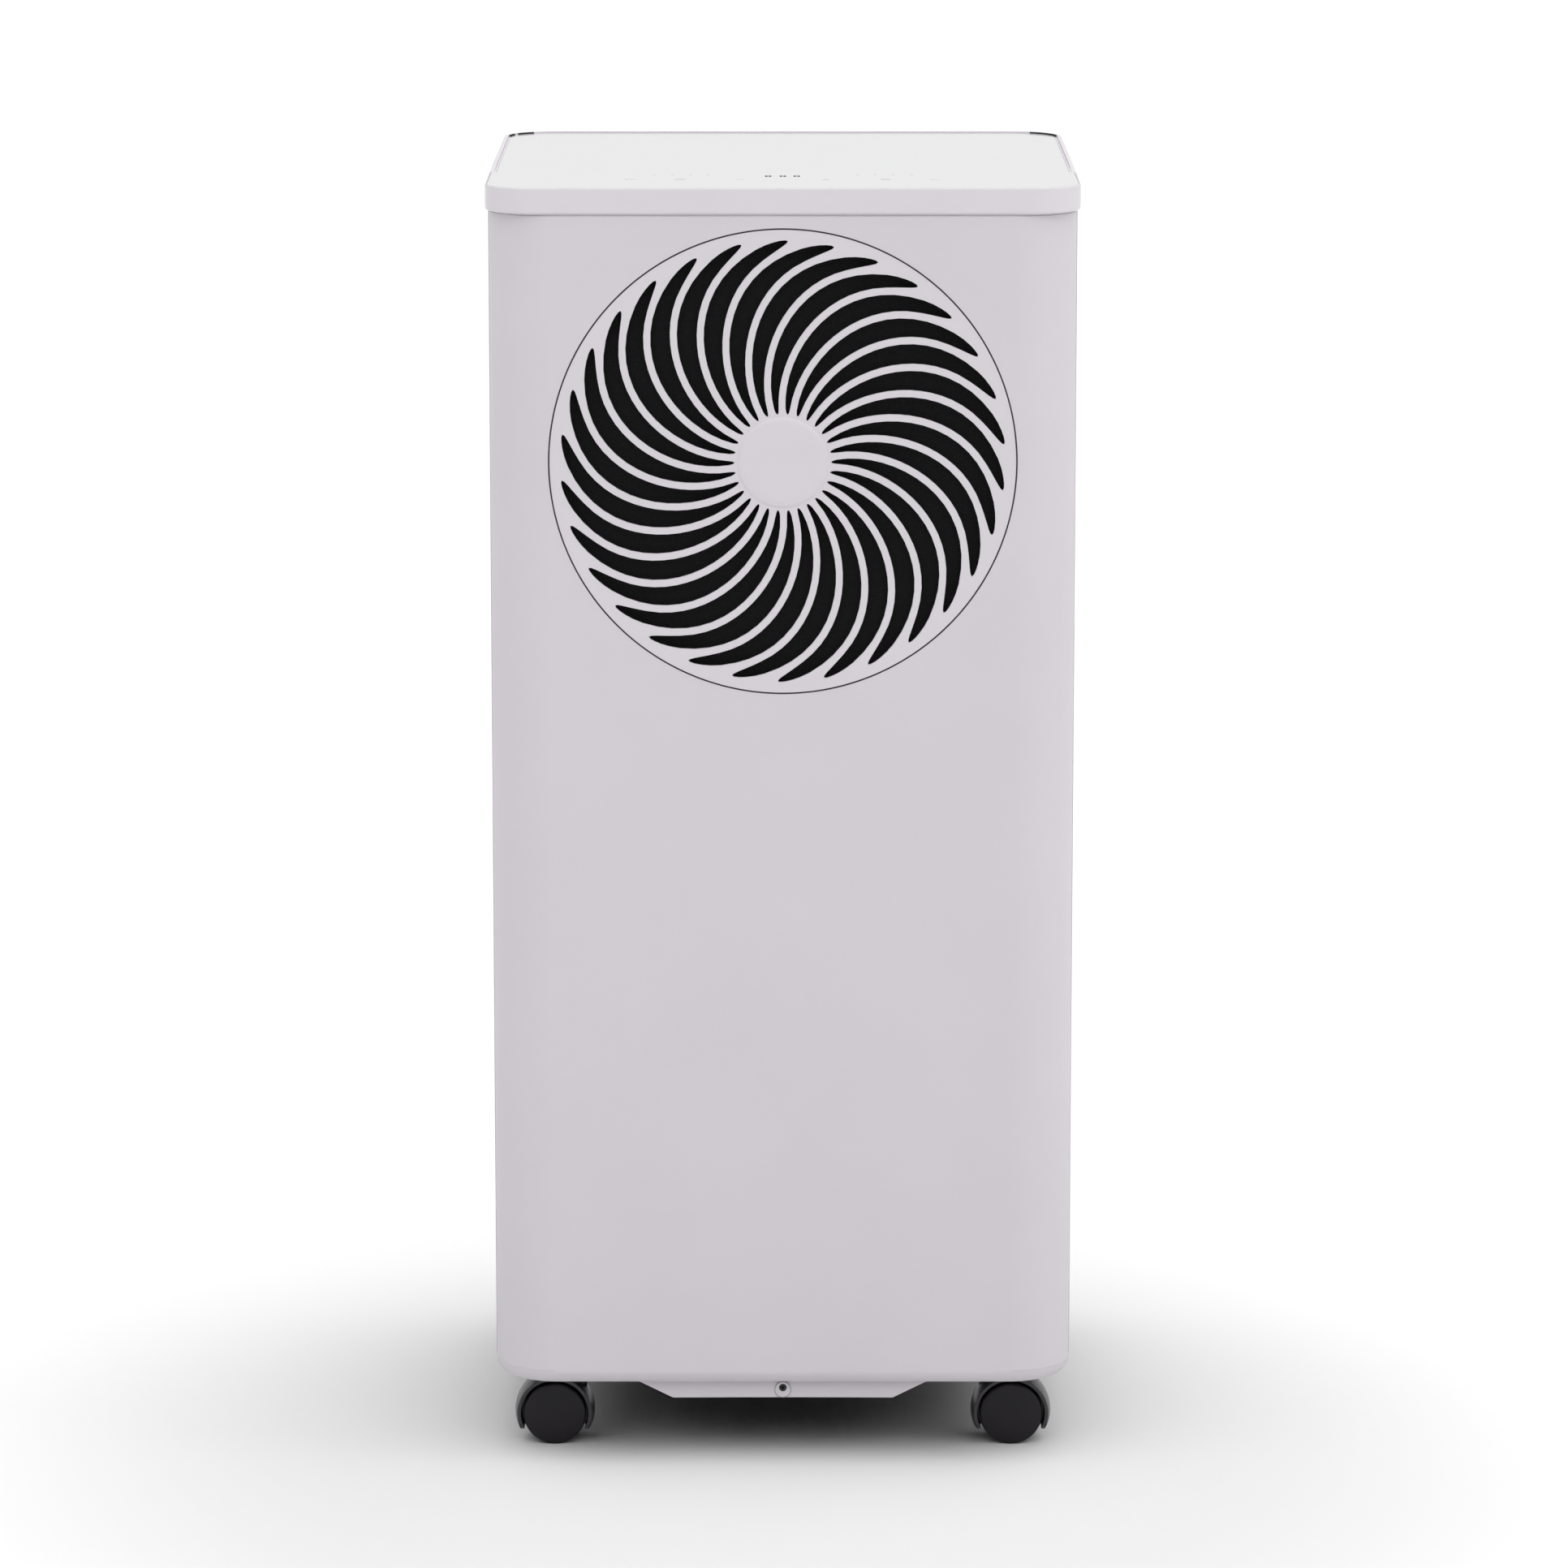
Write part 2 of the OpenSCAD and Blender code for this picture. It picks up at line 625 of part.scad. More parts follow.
module compressor() color("#26272a") {
    translate([compressor_at[0], compressor_at[1], 0]) {
        translate([0, 0, 72]) rotate_extrude($fn = 96) polygon(concat(
            [[0, 0]], arc(30, 18, 18, -90, 0), arc(22, 146, 26, 0, 90, 8), [[0, 172]]));
        translate([0, 0, 69]) cylinder(r = 44, h = 8);
        translate([0, 0, 240]) cylinder(r = 12, h = 12);
        difference() {
            translate([0, 0, 66]) linear_extrude(4) union() {
                circle(r = 46);
                for (a = [90:120:330]) rotate(a) translate([0, -14]) square([foot_reach + 8, 28]);
            }
            for (a = [90:120:330]) rotate(a) translate([foot_reach, 0, 60]) cylinder(r = 6.05, h = 20);
        }
    }
}

// Rubber grommets under the compressor's three legs
module compressor_feet() color("#1e1e1e") {
    at_feet() translate([0, 0, floor_z]) difference() {
        union() {
            cylinder(r = 10, h = 66 - floor_z, $fn = 48);
            cylinder(r = 6, h = 74 - floor_z, $fn = 32);
            translate([0, 0, 70 - floor_z]) cylinder(r = 8, h = 4, $fn = 32);
        }
        translate([0, 0, -1]) cylinder(r = 3, h = 40, $fn = 32);
    }
}

module suction_accumulator() color("#2c2d30") {
    translate([accumulator_at[0], accumulator_at[1], 92]) rotate_extrude($fn = 64) polygon(concat(
        [[0, 0]], arc(8, 12, 12, -90, 0), arc(8, 118, 12, 0, 90), [[0, 130]]));
}

// Discharge, suction and liquid lines, with the filter drier and the capillary tube
module copper_lines() color("#b8734a") {
    c = compressor_at;
    a = accumulator_at;
    cy = condenser_y + coil_t/2;
    ey = evaporator_y + coil_t/2;
    low = pass_z(0);
    high = pass_z(passes - 1);
    d = drier_at;
    pipe_run([[c[0], c[1], 252], [c[0], c[1], 290], [148, c[1], 290], [148, cy, 290], [148, cy, high],
              [tube_end, cy, high]], 3);
    pipe_run([[tube_end, ey, low], [138, ey, low], [138, ey, 304], [138, -22, 304], [a[0], -22, 304],
              [a[0], a[1], 304], [a[0], a[1], 222]], 4);
    pipe_run([[tube_end, cy, low], [d[0], cy, low], [d[0], d[1], low], d], 3);
    translate(d) rotate_extrude($fn = 48) polygon(
        [[0, -1], [3.5, -1], [4, 4], [9, 12], [9, 74], [3, 86], [2, 90], [0, 90]]);
    pipe_run([[d[0], d[1], d[2] + 88], [d[0], d[1], 680], [d[0], ey, 680], [d[0], ey, high],
              [tube_end, ey, high]], 1.3);
}

// ---------- inner structure ----------

// Deck between the coils and the machine bay, with the wall that closes the tank's bay
module chassis() color("#dcdcdc") {
    difference() {
        union() {
            cabinet_block(5.5, deck_z, deck_z + deck_t);
            box([-153, 153], [bulkhead_y, bulkhead_y + 1.5], [floor_z, deck_z + 0.5]);
            box([-153, 153], [bulkhead_y - 10, bulkhead_y + 1.5], [floor_z, floor_z + 1.5]);
            for (s = [-1, 1]) box([s*119 - 6, s*119 + 6], [back_y - 24, back_y - 12.3], [392, deck_z + 0.5]);
        }
        // passage for the copper lines
        box([122, 152.9], [18, 126], [deck_z - 1, deck_z + 10]);
        box([130, 153.1], [0, 20], [278, 322]);
        translate([spout_at[0], spout_at[1], 400]) cylinder(r = 9, h = 40);
        translate([spigot_at[0], elbow_y, 400]) cylinder(r = 12, h = 40);
        for (s = [-1, 1]) rod_y(1.95, back_y - 23, back_y, s*119, SCREWS[1][1], 32);
    }
}

module drip_tray() color("#e6e6e8") {
    z = deck_z + deck_t;
    outlets = [[spout_at[0], spout_at[1], 40], [spigot_at[0], elbow_y, 28]];
    difference() {
        translate([0, tray_y, z]) linear_extrude(tray[2]) polygon(round_rect(tray[0], tray[1], 8));
        translate([0, tray_y, z + 2]) linear_extrude(tray[2]) polygon(round_rect(tray[0] - 4, tray[1] - 4, 6));
        for (o = outlets) translate([o[0], o[1], z - 1]) cylinder(r = 5, h = 10, $fn = 48);
    }
    // spouts to the tank and to the drain elbow
    for (o = outlets) translate([o[0], o[1], z - o[2]]) difference() {
        cylinder(r = 7.5, h = o[2] + 0.5, $fn = 48);
        translate([0, 0, -1]) cylinder(r = 5, h = 50, $fn = 48);
    }
    // ledges that carry the coils
    for (x = [-110, 0, 110]) box([x - 3, x + 3], [46, 130], [z + 1.5, coil_z[0]]);
}

module control_box() color("#d8d8da") {
    difference() {
        box([-138, -18], [-146, -66], [322, deck_z]);
        box([-136, -20], [-144, -60], [324, deck_z + 1]);
    }
}

module main_board() color("#1f6b3a") {
    box([-134, -22], [-142, -70], [330, 331.6]);
    // relay, power parts, capacitors and connectors
    box([-130, -106], [-136, -112], [331.5, 356]);
    for (i = [0:2]) box([-94 + 22*i, -78 + 22*i], [-136, -118], [331.5, 348]);
    for (i = [0:3]) translate([-124 + 16*i, -84, 331.5]) cylinder(r = 5, h = 18, $fn = 32);
    box([-56, -28], [-98, -80], [331.5, 340]);
    // standoffs
    for (x = [-128, -28], y = [-138, -74]) translate([x, y, 324]) cylinder(r = 2.5, h = 6.1, $fn = 32);
}

module run_capacitor() color("#c8cacd") {
    translate([112, -60, 0]) {
        translate([0, 0, 336]) cylinder(r = 20, h = deck_z - 336);
        translate([0, 0, 332]) cylinder(r = 16, h = 5);
        for (s = [-1, 1]) translate([s*7 - 2, -0.5, 323]) cube([4, 1, 10]);
    }
}

module humidity_sensor() color("#e4e4e4") {
    z = deck_z + deck_t;
    difference() {
        box([-146, -130], [126, 140], [z, z + 34]);
        for (i = [0:3]) box([-143, -133], [120, 150], [z + 10 + 6*i, z + 12.5 + 6*i]);
    }
}

// ---------- water tank ----------

// Reed switch that feels the float's magnet through the tank's wall
module tank_sensor() color("#222326") {
    box([-98, -62], [bulkhead_y + 1.5, bulkhead_y + 7], [262, 282]);
    box([-92, -68], [bulkhead_y + 1.5, bulkhead_y + 8.5], [266, 278]);
}

module water_tank() color("#cfe0ea") {
    d = tank_y[1] - tank_y[0];
    post_y = [tank_y[0] + wall - 0.5, tank_y[0] + 26];
    difference() {
        translate([0, tank_mid, tank_z]) linear_extrude(tank_h) polygon(round_rect(tank_w, d, 14));
        difference() {
            translate([0, tank_mid, tank_z + wall]) linear_extrude(tank_h)
                polygon(round_rect(tank_w - 2*wall, d - 2*wall, 14 - wall));
            box([-58 - wall, 58 + wall], [tank_y[1] - grip_d - wall, 200], [recess_z - wall, 400]);
        }
        // finger recess behind the front panel's opening
        box([-58, 58], [tank_y[1] - grip_d, 200], [recess_z, 400]);
    }
    // post that the float turns on
    difference() {
        box([-88, -84], post_y, [tank_top - 30, tank_top - 4.5]);
        translate([-90, float_pivot[0], float_pivot[1]]) rotate([0, 90, 0]) cylinder(r = 2 + slide_fit, h = 12);
    }
}

module tank_front() color("#cfcad0") {
    plate_y(tank_y[1], back_y) difference() {
        translate([0, bay_z]) polygon(round_rect(bay[0] - 1.4, bay[1] - 1.4, 9.3));
        translate([0, recess_z + 18]) polygon(round_rect(104, 28, 12));
        // window on the water level
        translate([84, 170]) polygon(round_rect(12, 120, 6));
    }
}

module tank_lid() color("#dfe3e6") {
    d = tank_y[1] - tank_y[0];
    difference() {
        union() {
            translate([0, tank_mid, tank_top]) linear_extrude(wall) polygon(round_rect(tank_w, d, 14));
            translate([0, tank_mid, tank_top - 4]) linear_extrude(4.2) difference() {
                polygon(round_rect(tank_w - 2*wall - 0.6, d - 2*wall - 0.6, 11));
                polygon(round_rect(tank_w - 2*wall - 4, d - 2*wall - 4, 10));
            }
            for (s = [-1, 1]) box([s*100 - 3.6, s*100 + 3.6], [tank_mid - 4, tank_mid + 4],
                                  [tank_top + 1, handle_pivot_z + 4]);
        }
        // pouring and drip opening
        translate([30, tank_mid, tank_top - 10]) linear_extrude(40) polygon(round_rect(120, 84, 12));
        box([-62, 62], [tank_y[1] - grip_d - wall - 0.5, 200], [tank_top - 10, tank_top]);
        translate([-110, tank_mid, handle_pivot_z]) rotate([0, 90, 0]) cylinder(r = 2.4 + slide_fit, h = 220);
    }
}

module tank_handle() color("#8d9297") {
    z = [handle_pivot_z - 4, handle_pivot_z + 4];
    for (s = [-1, 1]) {
        translate([s > 0 ? 95 : -105, tank_mid, handle_pivot_z]) rotate([0, 90, 0]) cylinder(r = 2.4, h = 10);
        translate([s > 0 ? 89 : -96, tank_mid, handle_pivot_z]) rotate([0, 90, 0]) cylinder(r = 4, h = 7);
        box(s > 0 ? [89, 96] : [-96, -89], [tank_mid - 60, tank_mid], z);
    }
    box([-96, 96], [tank_mid - 62, tank_mid - 50], z);
}

module tank_float() color("#f2f2f2") {
    y = float_pivot[0];
    z = float_pivot[1];
    translate([-89, y, z]) rotate([0, 90, 0]) cylinder(r = 2, h = 9);
    box([-80.2, -70], [y - 3, y + 3], [z - 3, z + 3]);
    box([-78, -72], [y, y + 22], [z - 2, z + 2]);
    box([-94, -56], [y + 20, y + 42], [z - 16, z + 4]);
}

// ---------- casters ----------

// Puts a caster's shapes under corner c, with the axle set outwards of the stem
module at_corner(c) {
    translate([corner_x(c)*stem_x, corner_y(c)*caster_y, 0]) children();
}

module caster_hood(c) color("#2a282b") {
    s = corner_x(c);
    crown = [for (i = [-4:4]) let (y = i*hood_half/4) [hood_r + 1.5*(1 - pow(y/hood_half, 2)), y]];
    at_corner(c) difference() {
        union() {
            translate([s*trail, 0, wheel_r]) rotate([90, 0, 0]) rotate_extrude($fn = 96)
                polygon(concat([[0, -hood_half]], crown, [[0, hood_half]]));
            translate([0, 0, wheel_r + 14]) cylinder(r = 8.5, h = body_z - wheel_r - 14.8);
        }
        translate([0, 0, wheel_r - 8.6 - 30]) cube([120, 60, 60], center = true);
        for (y = [20, -2.2]) translate([s*trail, y, wheel_r]) rotate([90, 0, 0])
            cylinder(r = hood_r - 2, h = 17.8, $fn = 96);
        translate([s*trail, 10, wheel_r]) rotate([90, 0, 0]) cylinder(r = axle_r, h = 20, $fn = 32);
        translate([0, 0, wheel_r + 20]) cylinder(r = stem_r, h = 30, $fn = 48);
    }
}

// Stem and axle of one caster
module caster_pins(c) color("#b5b7ba") {
    at_corner(c) {
        translate([0, 0, wheel_r + 20]) cylinder(r = stem_r, h = stem_top - wheel_r - 20, $fn = 48);
        translate([corner_x(c)*trail, 10.5, wheel_r]) rotate([90, 0, 0]) cylinder(r = axle_r, h = 21, $fn = 32);
    }
}

// Half section of a wheel, from its flat inner face to its domed outer face
function wheel_outline() = concat(
    [[axle_r + 0.06, 2.6], [wheel_r - 1, 2.6]], arc(wheel_r - 1, 3.6, 1, -90, 0, 3),
    arc(wheel_r - 1.6, 11.2, 1.6, 0, 90, 5), [[10, 13.2], [0, 13.4], [0, 10.8], [axle_r + 0.06, 10.8]]);

module wheel(c, side) color("#29272a") {
    at_corner(c) translate([corner_x(c)*trail, 0, wheel_r]) rotate([side > 0 ? -90 : 90, 0, 0])
        rotate_extrude($fn = 96) polygon(wheel_outline());
}

// ---------- nodes ----------

front_cover();
rear_cover();
base_pan();
lid_frame();
top_panel();
display_board();
front_grille();
grille_cap();
grille_net();
intake_grille();
filter_frame();
filter_mesh();
side_grips();
case_screws();
drain_plug();
drain_spigot();
hose_plug();
cable_gland();
fan_shroud();
motor_bracket();
fan_motor();
motor_shaft();
fan_blades();
fan_nut();
evaporator_fins();
evaporator_tubes();
condenser_fins();
condenser_tubes();
compressor();
compressor_feet();
suction_accumulator();
copper_lines();
chassis();
drip_tray();
control_box();
main_board();
run_capacitor();
humidity_sensor();
tank_sensor();
water_tank();
tank_front();
tank_lid();
tank_handle();
tank_float();
for (c = CORNERS) {
    caster_hood(c);
    caster_pins(c);
    wheel(c, -1);
    wheel(c, 1);
}
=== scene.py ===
"""Free-standing dehumidifier: the finished look of every part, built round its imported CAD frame.

The cabinet stands on the floor with its round grille towards -Y. Each sub-assembly is a class that
shapes its own pieces and dresses them in the finishes listed near the top. Lengths are metres, and
the sizes of a maker's drawing are given in millimetres through mm().
"""

import json
import logging
import math
from collections.abc import Callable, Iterator
from contextlib import contextmanager
from dataclasses import dataclass
from enum import Enum

import bmesh
import bpy
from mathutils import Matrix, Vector


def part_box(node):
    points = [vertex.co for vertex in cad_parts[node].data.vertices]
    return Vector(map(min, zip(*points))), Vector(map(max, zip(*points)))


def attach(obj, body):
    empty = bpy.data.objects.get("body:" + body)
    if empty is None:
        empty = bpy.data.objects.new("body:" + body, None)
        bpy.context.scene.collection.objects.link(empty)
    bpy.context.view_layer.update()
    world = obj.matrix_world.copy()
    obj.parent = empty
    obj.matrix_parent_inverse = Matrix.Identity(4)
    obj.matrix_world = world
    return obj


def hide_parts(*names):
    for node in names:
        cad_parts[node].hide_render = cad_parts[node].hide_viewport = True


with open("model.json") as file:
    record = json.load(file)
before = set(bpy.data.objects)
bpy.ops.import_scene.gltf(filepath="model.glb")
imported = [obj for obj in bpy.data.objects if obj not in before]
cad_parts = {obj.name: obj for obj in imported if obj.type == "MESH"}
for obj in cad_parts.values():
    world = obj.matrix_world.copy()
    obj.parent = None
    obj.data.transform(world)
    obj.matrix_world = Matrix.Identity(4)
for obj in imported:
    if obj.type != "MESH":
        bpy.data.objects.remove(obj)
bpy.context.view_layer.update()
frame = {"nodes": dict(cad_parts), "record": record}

log = logging.getLogger("dehumidifier")

Test = Callable[[Vector, Vector], bool]
Line = list[tuple[float, float]]
Triple = tuple[float, float, float]
Arc = tuple[int, float, float]
Object = bpy.types.Object
Tree = bpy.types.NodeTree
Socket = bpy.types.NodeSocket
BODY_OF = {
    node: body
    for body, nodes in frame["record"]["behaviour"]["bodies"].items()
    for node in nodes
}
CORNERS = ("fl", "fr", "rl", "rr")
SIDES = (-1, 1)
WELD = 2e-6  # corners nearer than this are one corner, in metres
NEAR = 5e-5  # how nearly two heights or depths have to agree, in metres
LEVEL = 0.01  # the most that a level edge rises, as a share of its length
FADING = 0.1  # the most that an edge of the fading rim rises
ARC_STEPS = 12  # facets of an arc round a corner of the lid
SEAL_STEPS = 16  # facets of an arc round a corner of the cabinet
MARK_STEPS = 24  # facets of a ring mark
DROP_STEPS = 28  # facets of the water drop mark
DROP_TAPER = 1.6  # how slim the drop is towards its tip
DROP_SHIFT = 0.35  # how far its round end lies back from its middle, as a share of its size
BEAD_FACETS = 8  # facets round the thickness of a bead
WHITE = (1.0, 1.0, 1.0, 1.0)
COAT_ROUGHNESS = 0.04
GRAIN_SWING = 0.12  # how far the grain makes a surface duller or shinier, as a share
WAVE_RATE = 20  # radians of a wave texture in one unit of length, at scale 1


def mm(length: float) -> float:
    """Turns millimetres into metres."""
    return length / 1000.0


def linear(hex_colour: str) -> tuple[float, float, float, float]:
    """Turns an sRGB hex colour into the linear colour that a shader takes.

    Args:
        hex_colour: The colour as six hex digits.

    Returns:
        Linear red, green, blue and an alpha of 1.
    """
    shares = [int(hex_colour[i : i + 2], 16) / 255 for i in (0, 2, 4)]
    red, green, blue = (
        share / 12.92 if share <= 0.04045 else ((share + 0.055) / 1.055) ** 2.4
        for share in shares
    )
    return red, green, blue, 1.0


# ---------- finishes ----------


def add_node(tree: Tree, kind: str, settings: dict[str | int, object]) -> bpy.types.Node:
    """Adds a shader node with its settings and the links into it.

    Args:
        tree: The node tree to add to.
        kind: The node's type without its prefix, such as Bump.
        settings: Values and sockets by input name, input number or property name.

    Returns:
        The new node.
    """
    made = tree.nodes.new(f"ShaderNode{kind}")
    for key, value in settings.items():
        if isinstance(key, str) and key not in made.inputs:
            setattr(made, key, value)
        elif isinstance(value, Socket):
            tree.links.new(value, made.inputs[key])
        else:
            made.inputs[key].default_value = value
    return made


def calculate(tree: Tree, operation: str, *values: float | Socket) -> Socket:
    """Adds a math node to a tree.

    Args:
        tree: The node tree to add to.
        operation: What it does, such as MULTIPLY.
        *values: The numbers and sockets that it works on.

    Returns:
        Its result.
    """
    settings = {"operation": operation} | dict(enumerate(values))
    return add_node(tree, "Math", settings).outputs["Value"]


@dataclass(frozen=True)
class Finish:
    """A surface of one flat-moulded, drawn or painted stuff, with a fine random grain.

    Attributes:
        name: What the stuff is and how it was made.
        colour: Its sRGB hex colour.
        shade: The sRGB hex colour that it wanders towards.
        roughness: How dull it is, from 0 to 1.
        grain: Width of one grain of its surface, in metres.
        relief: Height of that grain, in metres.
        mottle: Width of the slow changes of colour, in metres.
        ior: Its index of refraction.
        metallic: 1 for a bare metal.
        coat: How much clear gloss lies on it.
        sheen: How much its fibres glow at the edges.
        transmission: How much light goes through it.
        specular: How strongly it mirrors, where 0.5 is what its IOR gives.
    """

    name: str
    colour: str
    shade: str
    roughness: float
    grain: float = mm(0.8)
    relief: float = mm(0.01)
    mottle: float = mm(60)
    ior: float = 1.5
    metallic: float = 0.0
    coat: float = 0.0
    sheen: float = 0.0
    transmission: float = 0.0
    specular: float = 0.5

    def height(self, tree: Tree, place: Socket) -> Socket:
        """Returns the surface's height from 0 to 1: an even random grain."""
        grain = {"Scale": 1 / self.grain, "Detail": 2.0, "Roughness": 0.6, "Vector": place}
        return add_node(tree, "TexNoise", grain).outputs["Fac"]

    def tint(self, tree: Tree, place: Socket) -> Socket:
        """Returns how far the colour has gone towards the shade, from 0 to 1: slow and faint."""
        mottle = {"Scale": 1 / self.mottle, "Detail": 3.0, "Vector": place}
        return add_node(tree, "TexNoise", mottle).outputs["Fac"]

    def material(self) -> bpy.types.Material:
        """Builds the material the first time, and returns it."""
        if self.name in bpy.data.materials:
            return bpy.data.materials[self.name]
        made = bpy.data.materials.new(self.name)
        made.use_nodes = True
        tree = made.node_tree
        tree.nodes.clear()
        place = add_node(tree, "TexCoord", {}).outputs["Object"]
        height = self.height(tree, place)
        colour = add_node(tree, "Mix", {
            "data_type": "RGBA",
            6: linear(self.colour),
            7: linear(self.shade),
            0: self.tint(tree, place),
        })
        dullness = add_node(tree, "MapRange", {
            "To Min": self.roughness * (1 - GRAIN_SWING),
            "To Max": min(1.0, self.roughness * (1 + GRAIN_SWING)),
            "Value": height,
        })
        bump = {"Strength": 1.0, "Distance": self.relief, "Height": height}
        shader = add_node(tree, "BsdfPrincipled", {
            "IOR": self.ior,
            "Metallic": self.metallic,
            "Coat Weight": self.coat,
            "Coat Roughness": COAT_ROUGHNESS,
            "Sheen Weight": self.sheen,
            "Transmission Weight": self.transmission,
            "Specular IOR Level": self.specular,
            "Base Color": colour.outputs[2],
            "Roughness": dullness.outputs["Result"],
            "Normal": add_node(tree, "Bump", bump).outputs["Normal"],
        })
        add_node(tree, "OutputMaterial", {"Surface": shader.outputs["BSDF"]})
        return made


@dataclass(frozen=True)
class Drawn(Finish):
    """A metal that was drawn, turned or ground: its grain runs in long fine lines.

    Attributes:
        along: The direction of the lines: X, Y or Z.
    """

    along: str = "X"

    def height(self, tree: Tree, place: Socket) -> Socket:
        """Returns a grain that is stretched forty times along the lines."""
        stretch = [1.0 if axis != self.along else 0.025 for axis in "XYZ"]
        mapping = add_node(tree, "Mapping", {"Scale": stretch, "Vector": place})
        lines = {"Scale": 1 / self.grain, "Detail": 3.0, "Vector": mapping.outputs["Vector"]}
        return add_node(tree, "TexNoise", lines).outputs["Fac"]


@dataclass(frozen=True)
class Woven(Finish):
    """A plain weave that stands in a plane of X and Z: threads pass over and under each other.

    Attributes:
        pitch: Distance between two threads, in metres.
    """

    pitch: float = mm(1.2)

    def height(self, tree: Tree, place: Socket) -> Socket:
        """Returns the height of round threads that run both ways."""
        thread = {"wave_type": "BANDS", "Scale": math.tau / (WAVE_RATE * self.pitch)}
        ways = [
            add_node(
                tree, "TexWave", thread | {"bands_direction": way, "Vector": place}
            ).outputs["Fac"]
            for way in "XZ"
        ]
        return calculate(tree, "MAXIMUM", *ways)

    def tint(self, tree: Tree, place: Socket) -> Socket:
        """Returns the gaps between the threads, painted darker than the threads as painted shade
        between them.
        """
        gaps = {"operation": "SUBTRACT", "use_clamp": True, 0: 1.0, 1: self.height(tree, place)}
        return add_node(tree, "Math", gaps).outputs["Value"]


# ABS with a cover's fine spark-eroded texture: satin, with a broad highlight
COVER_ABS = Finish("cover_abs_spark_texture", "d4cfd5", "cfcad0", 0.46, mm(0.9), mm(0.012))
# The same ABS, a shade lighter and smoother, for the lid
TRIM_ABS = Finish("trim_abs_satin", "dad5db", "d6d1d7", 0.36, mm(0.7), mm(0.006))
# The grille's ABS, between the two
GRILLE_ABS = Finish("grille_abs_satin", "d7d2d8", "d3ced4", 0.38, mm(0.7), mm(0.006))
# Toughened glass printed white behind, with sharp reflections
TOP_GLASS = Finish(
    "top_glass_white_printed", "dadadb", "d8d8d9", 0.1, mm(30), mm(0.002), ior=1.52
)
# The touch panel's marks: as glossy as the glass round them
PALE_INK = Finish("panel_ink_pale_grey", "a9a9ae", "a3a3a8", 0.1, mm(0.4), mm(0.001), ior=1.52)
# The unlit display and the tank's level marks: dark and matt
DARK_INK = Finish("panel_ink_dark_grey", "29282b", "252427", 0.5, mm(0.4), mm(0.001), ior=1.0)
# Polyester net in front of the fan: black and matt, with painted shade between its threads
BLACK_NET = Woven(
    "grille_net_black_polyester", "131214", "070708", 0.85, relief=mm(0.2), specular=0.2
)
# Black, quite matt felt under the base pan: painted shade, a dark sheet where the cabinet's
# underside lies in shadow
PAINTED_SHADE_FELT = Finish(
    "painted_shade_felt_black", "101011", "1a1a1b", 0.95, mm(0.7), mm(0.12), mm(5), specular=0.1
)
# Nylon filter cloth: dark grey threads with a soft sheen, and painted shade between them
FILTER_CLOTH = Woven("filter_cloth_nylon", "54585d", "2b2d31", 0.7, relief=mm(0.25), sheen=0.3)
# Glass-filled nylon: black, satin and a little streaky
BLACK_NYLON = Finish(
    "caster_nylon_black", "302d32", "29272b", 0.34, mm(0.6), mm(0.008), mm(12)
)
# Softer polyurethane of the wheels' treads and faces
WHEEL_NYLON = Finish(
    "wheel_nylon_black", "1d191f", "171418", 0.42, mm(0.7), mm(0.01), mm(9), specular=0.25
)
# Moulded rubber: black and dull, with a faint bloom
RUBBER = Finish("moulded_rubber_black", "1d1c1e", "262528", 0.72, mm(0.5), mm(0.02), mm(6))
# Polypropylene: milky white and waxy
INNER_PP = Finish("inner_polypropylene_white", "dcdcdd", "d2d2d4", 0.42, mm(1.2), mm(0.01), mm(40))
# Dark ABS of the fan and its shroud
FAN_ABS = Finish("fan_abs_dark", "2c2d30", "242528", 0.38, mm(0.8), mm(0.008), mm(30))
# The tank's clear polystyrene, with soft flow lines
TANK_PS = Finish(
    "tank_polystyrene_clear", "dbe8ef", "cfdfe8", 0.14, mm(6), mm(0.01), mm(80),
    ior=1.59, transmission=0.75,
)
# Grey ABS of the tank's bail
BAIL_ABS = Finish("bail_abs_grey", "8b8f95", "82868c", 0.44, mm(0.8), mm(0.012), mm(30))
# Expanded foam, faintly beaded
FLOAT_FOAM = Finish("float_foam_white", "efefec", "dededa", 0.8, mm(2.2), mm(0.12), mm(5))
# Zinc-plated mild steel: pale grey with a faint blue, and drawn lines
ZINC = Drawn("zinc_plated_steel", "b9bdc2", "a4a9ae", 0.32, mm(0.4), mm(0.006), metallic=1.0)
# Ground shaft steel: brighter, with its lines round the shaft
GROUND_STEEL = Drawn(
    "ground_shaft_steel", "c7c9cc", "b0b3b7", 0.2, mm(0.3), mm(0.003), metallic=1.0, along="Z"
)
# Pressed sheet steel of the motor's cans under clear lacquer
CAN_STEEL = Finish("pressed_can_steel", "b4b7bb", "a3a6ab", 0.4, mm(1.5), mm(0.01), metallic=1.0)
# Thin aluminium fins: bright and slightly oxidised
FIN_ALUMINIUM = Drawn(
    "fin_aluminium", "d3d6da", "b9bdc3", 0.34, mm(0.5), mm(0.01), metallic=1.0, along="Z"
)
# Drawn copper tube, browner where it has been brazed
COPPER = Finish(
    "drawn_copper_tube", "c07a50", "8d5434", 0.28, mm(0.6), mm(0.004), mm(14), metallic=1.0
)
# Black stoving enamel with a slight orange peel
ENAMEL = Finish(
    "black_stoving_enamel", "1b1c1f", "232428", 0.26, mm(2.4), mm(0.02), mm(20), coat=0.3
)
# Green solder mask over copper tracks
SOLDER_MASK = Finish("green_solder_mask", "1c5a34", "2b7a47", 0.3, mm(1.6), mm(0.02), mm(3))


# ---------- shaping ----------


class Part(Enum):
    """What an edit works on."""

    EDGES = "EDGE"
    FACES = "FACE"


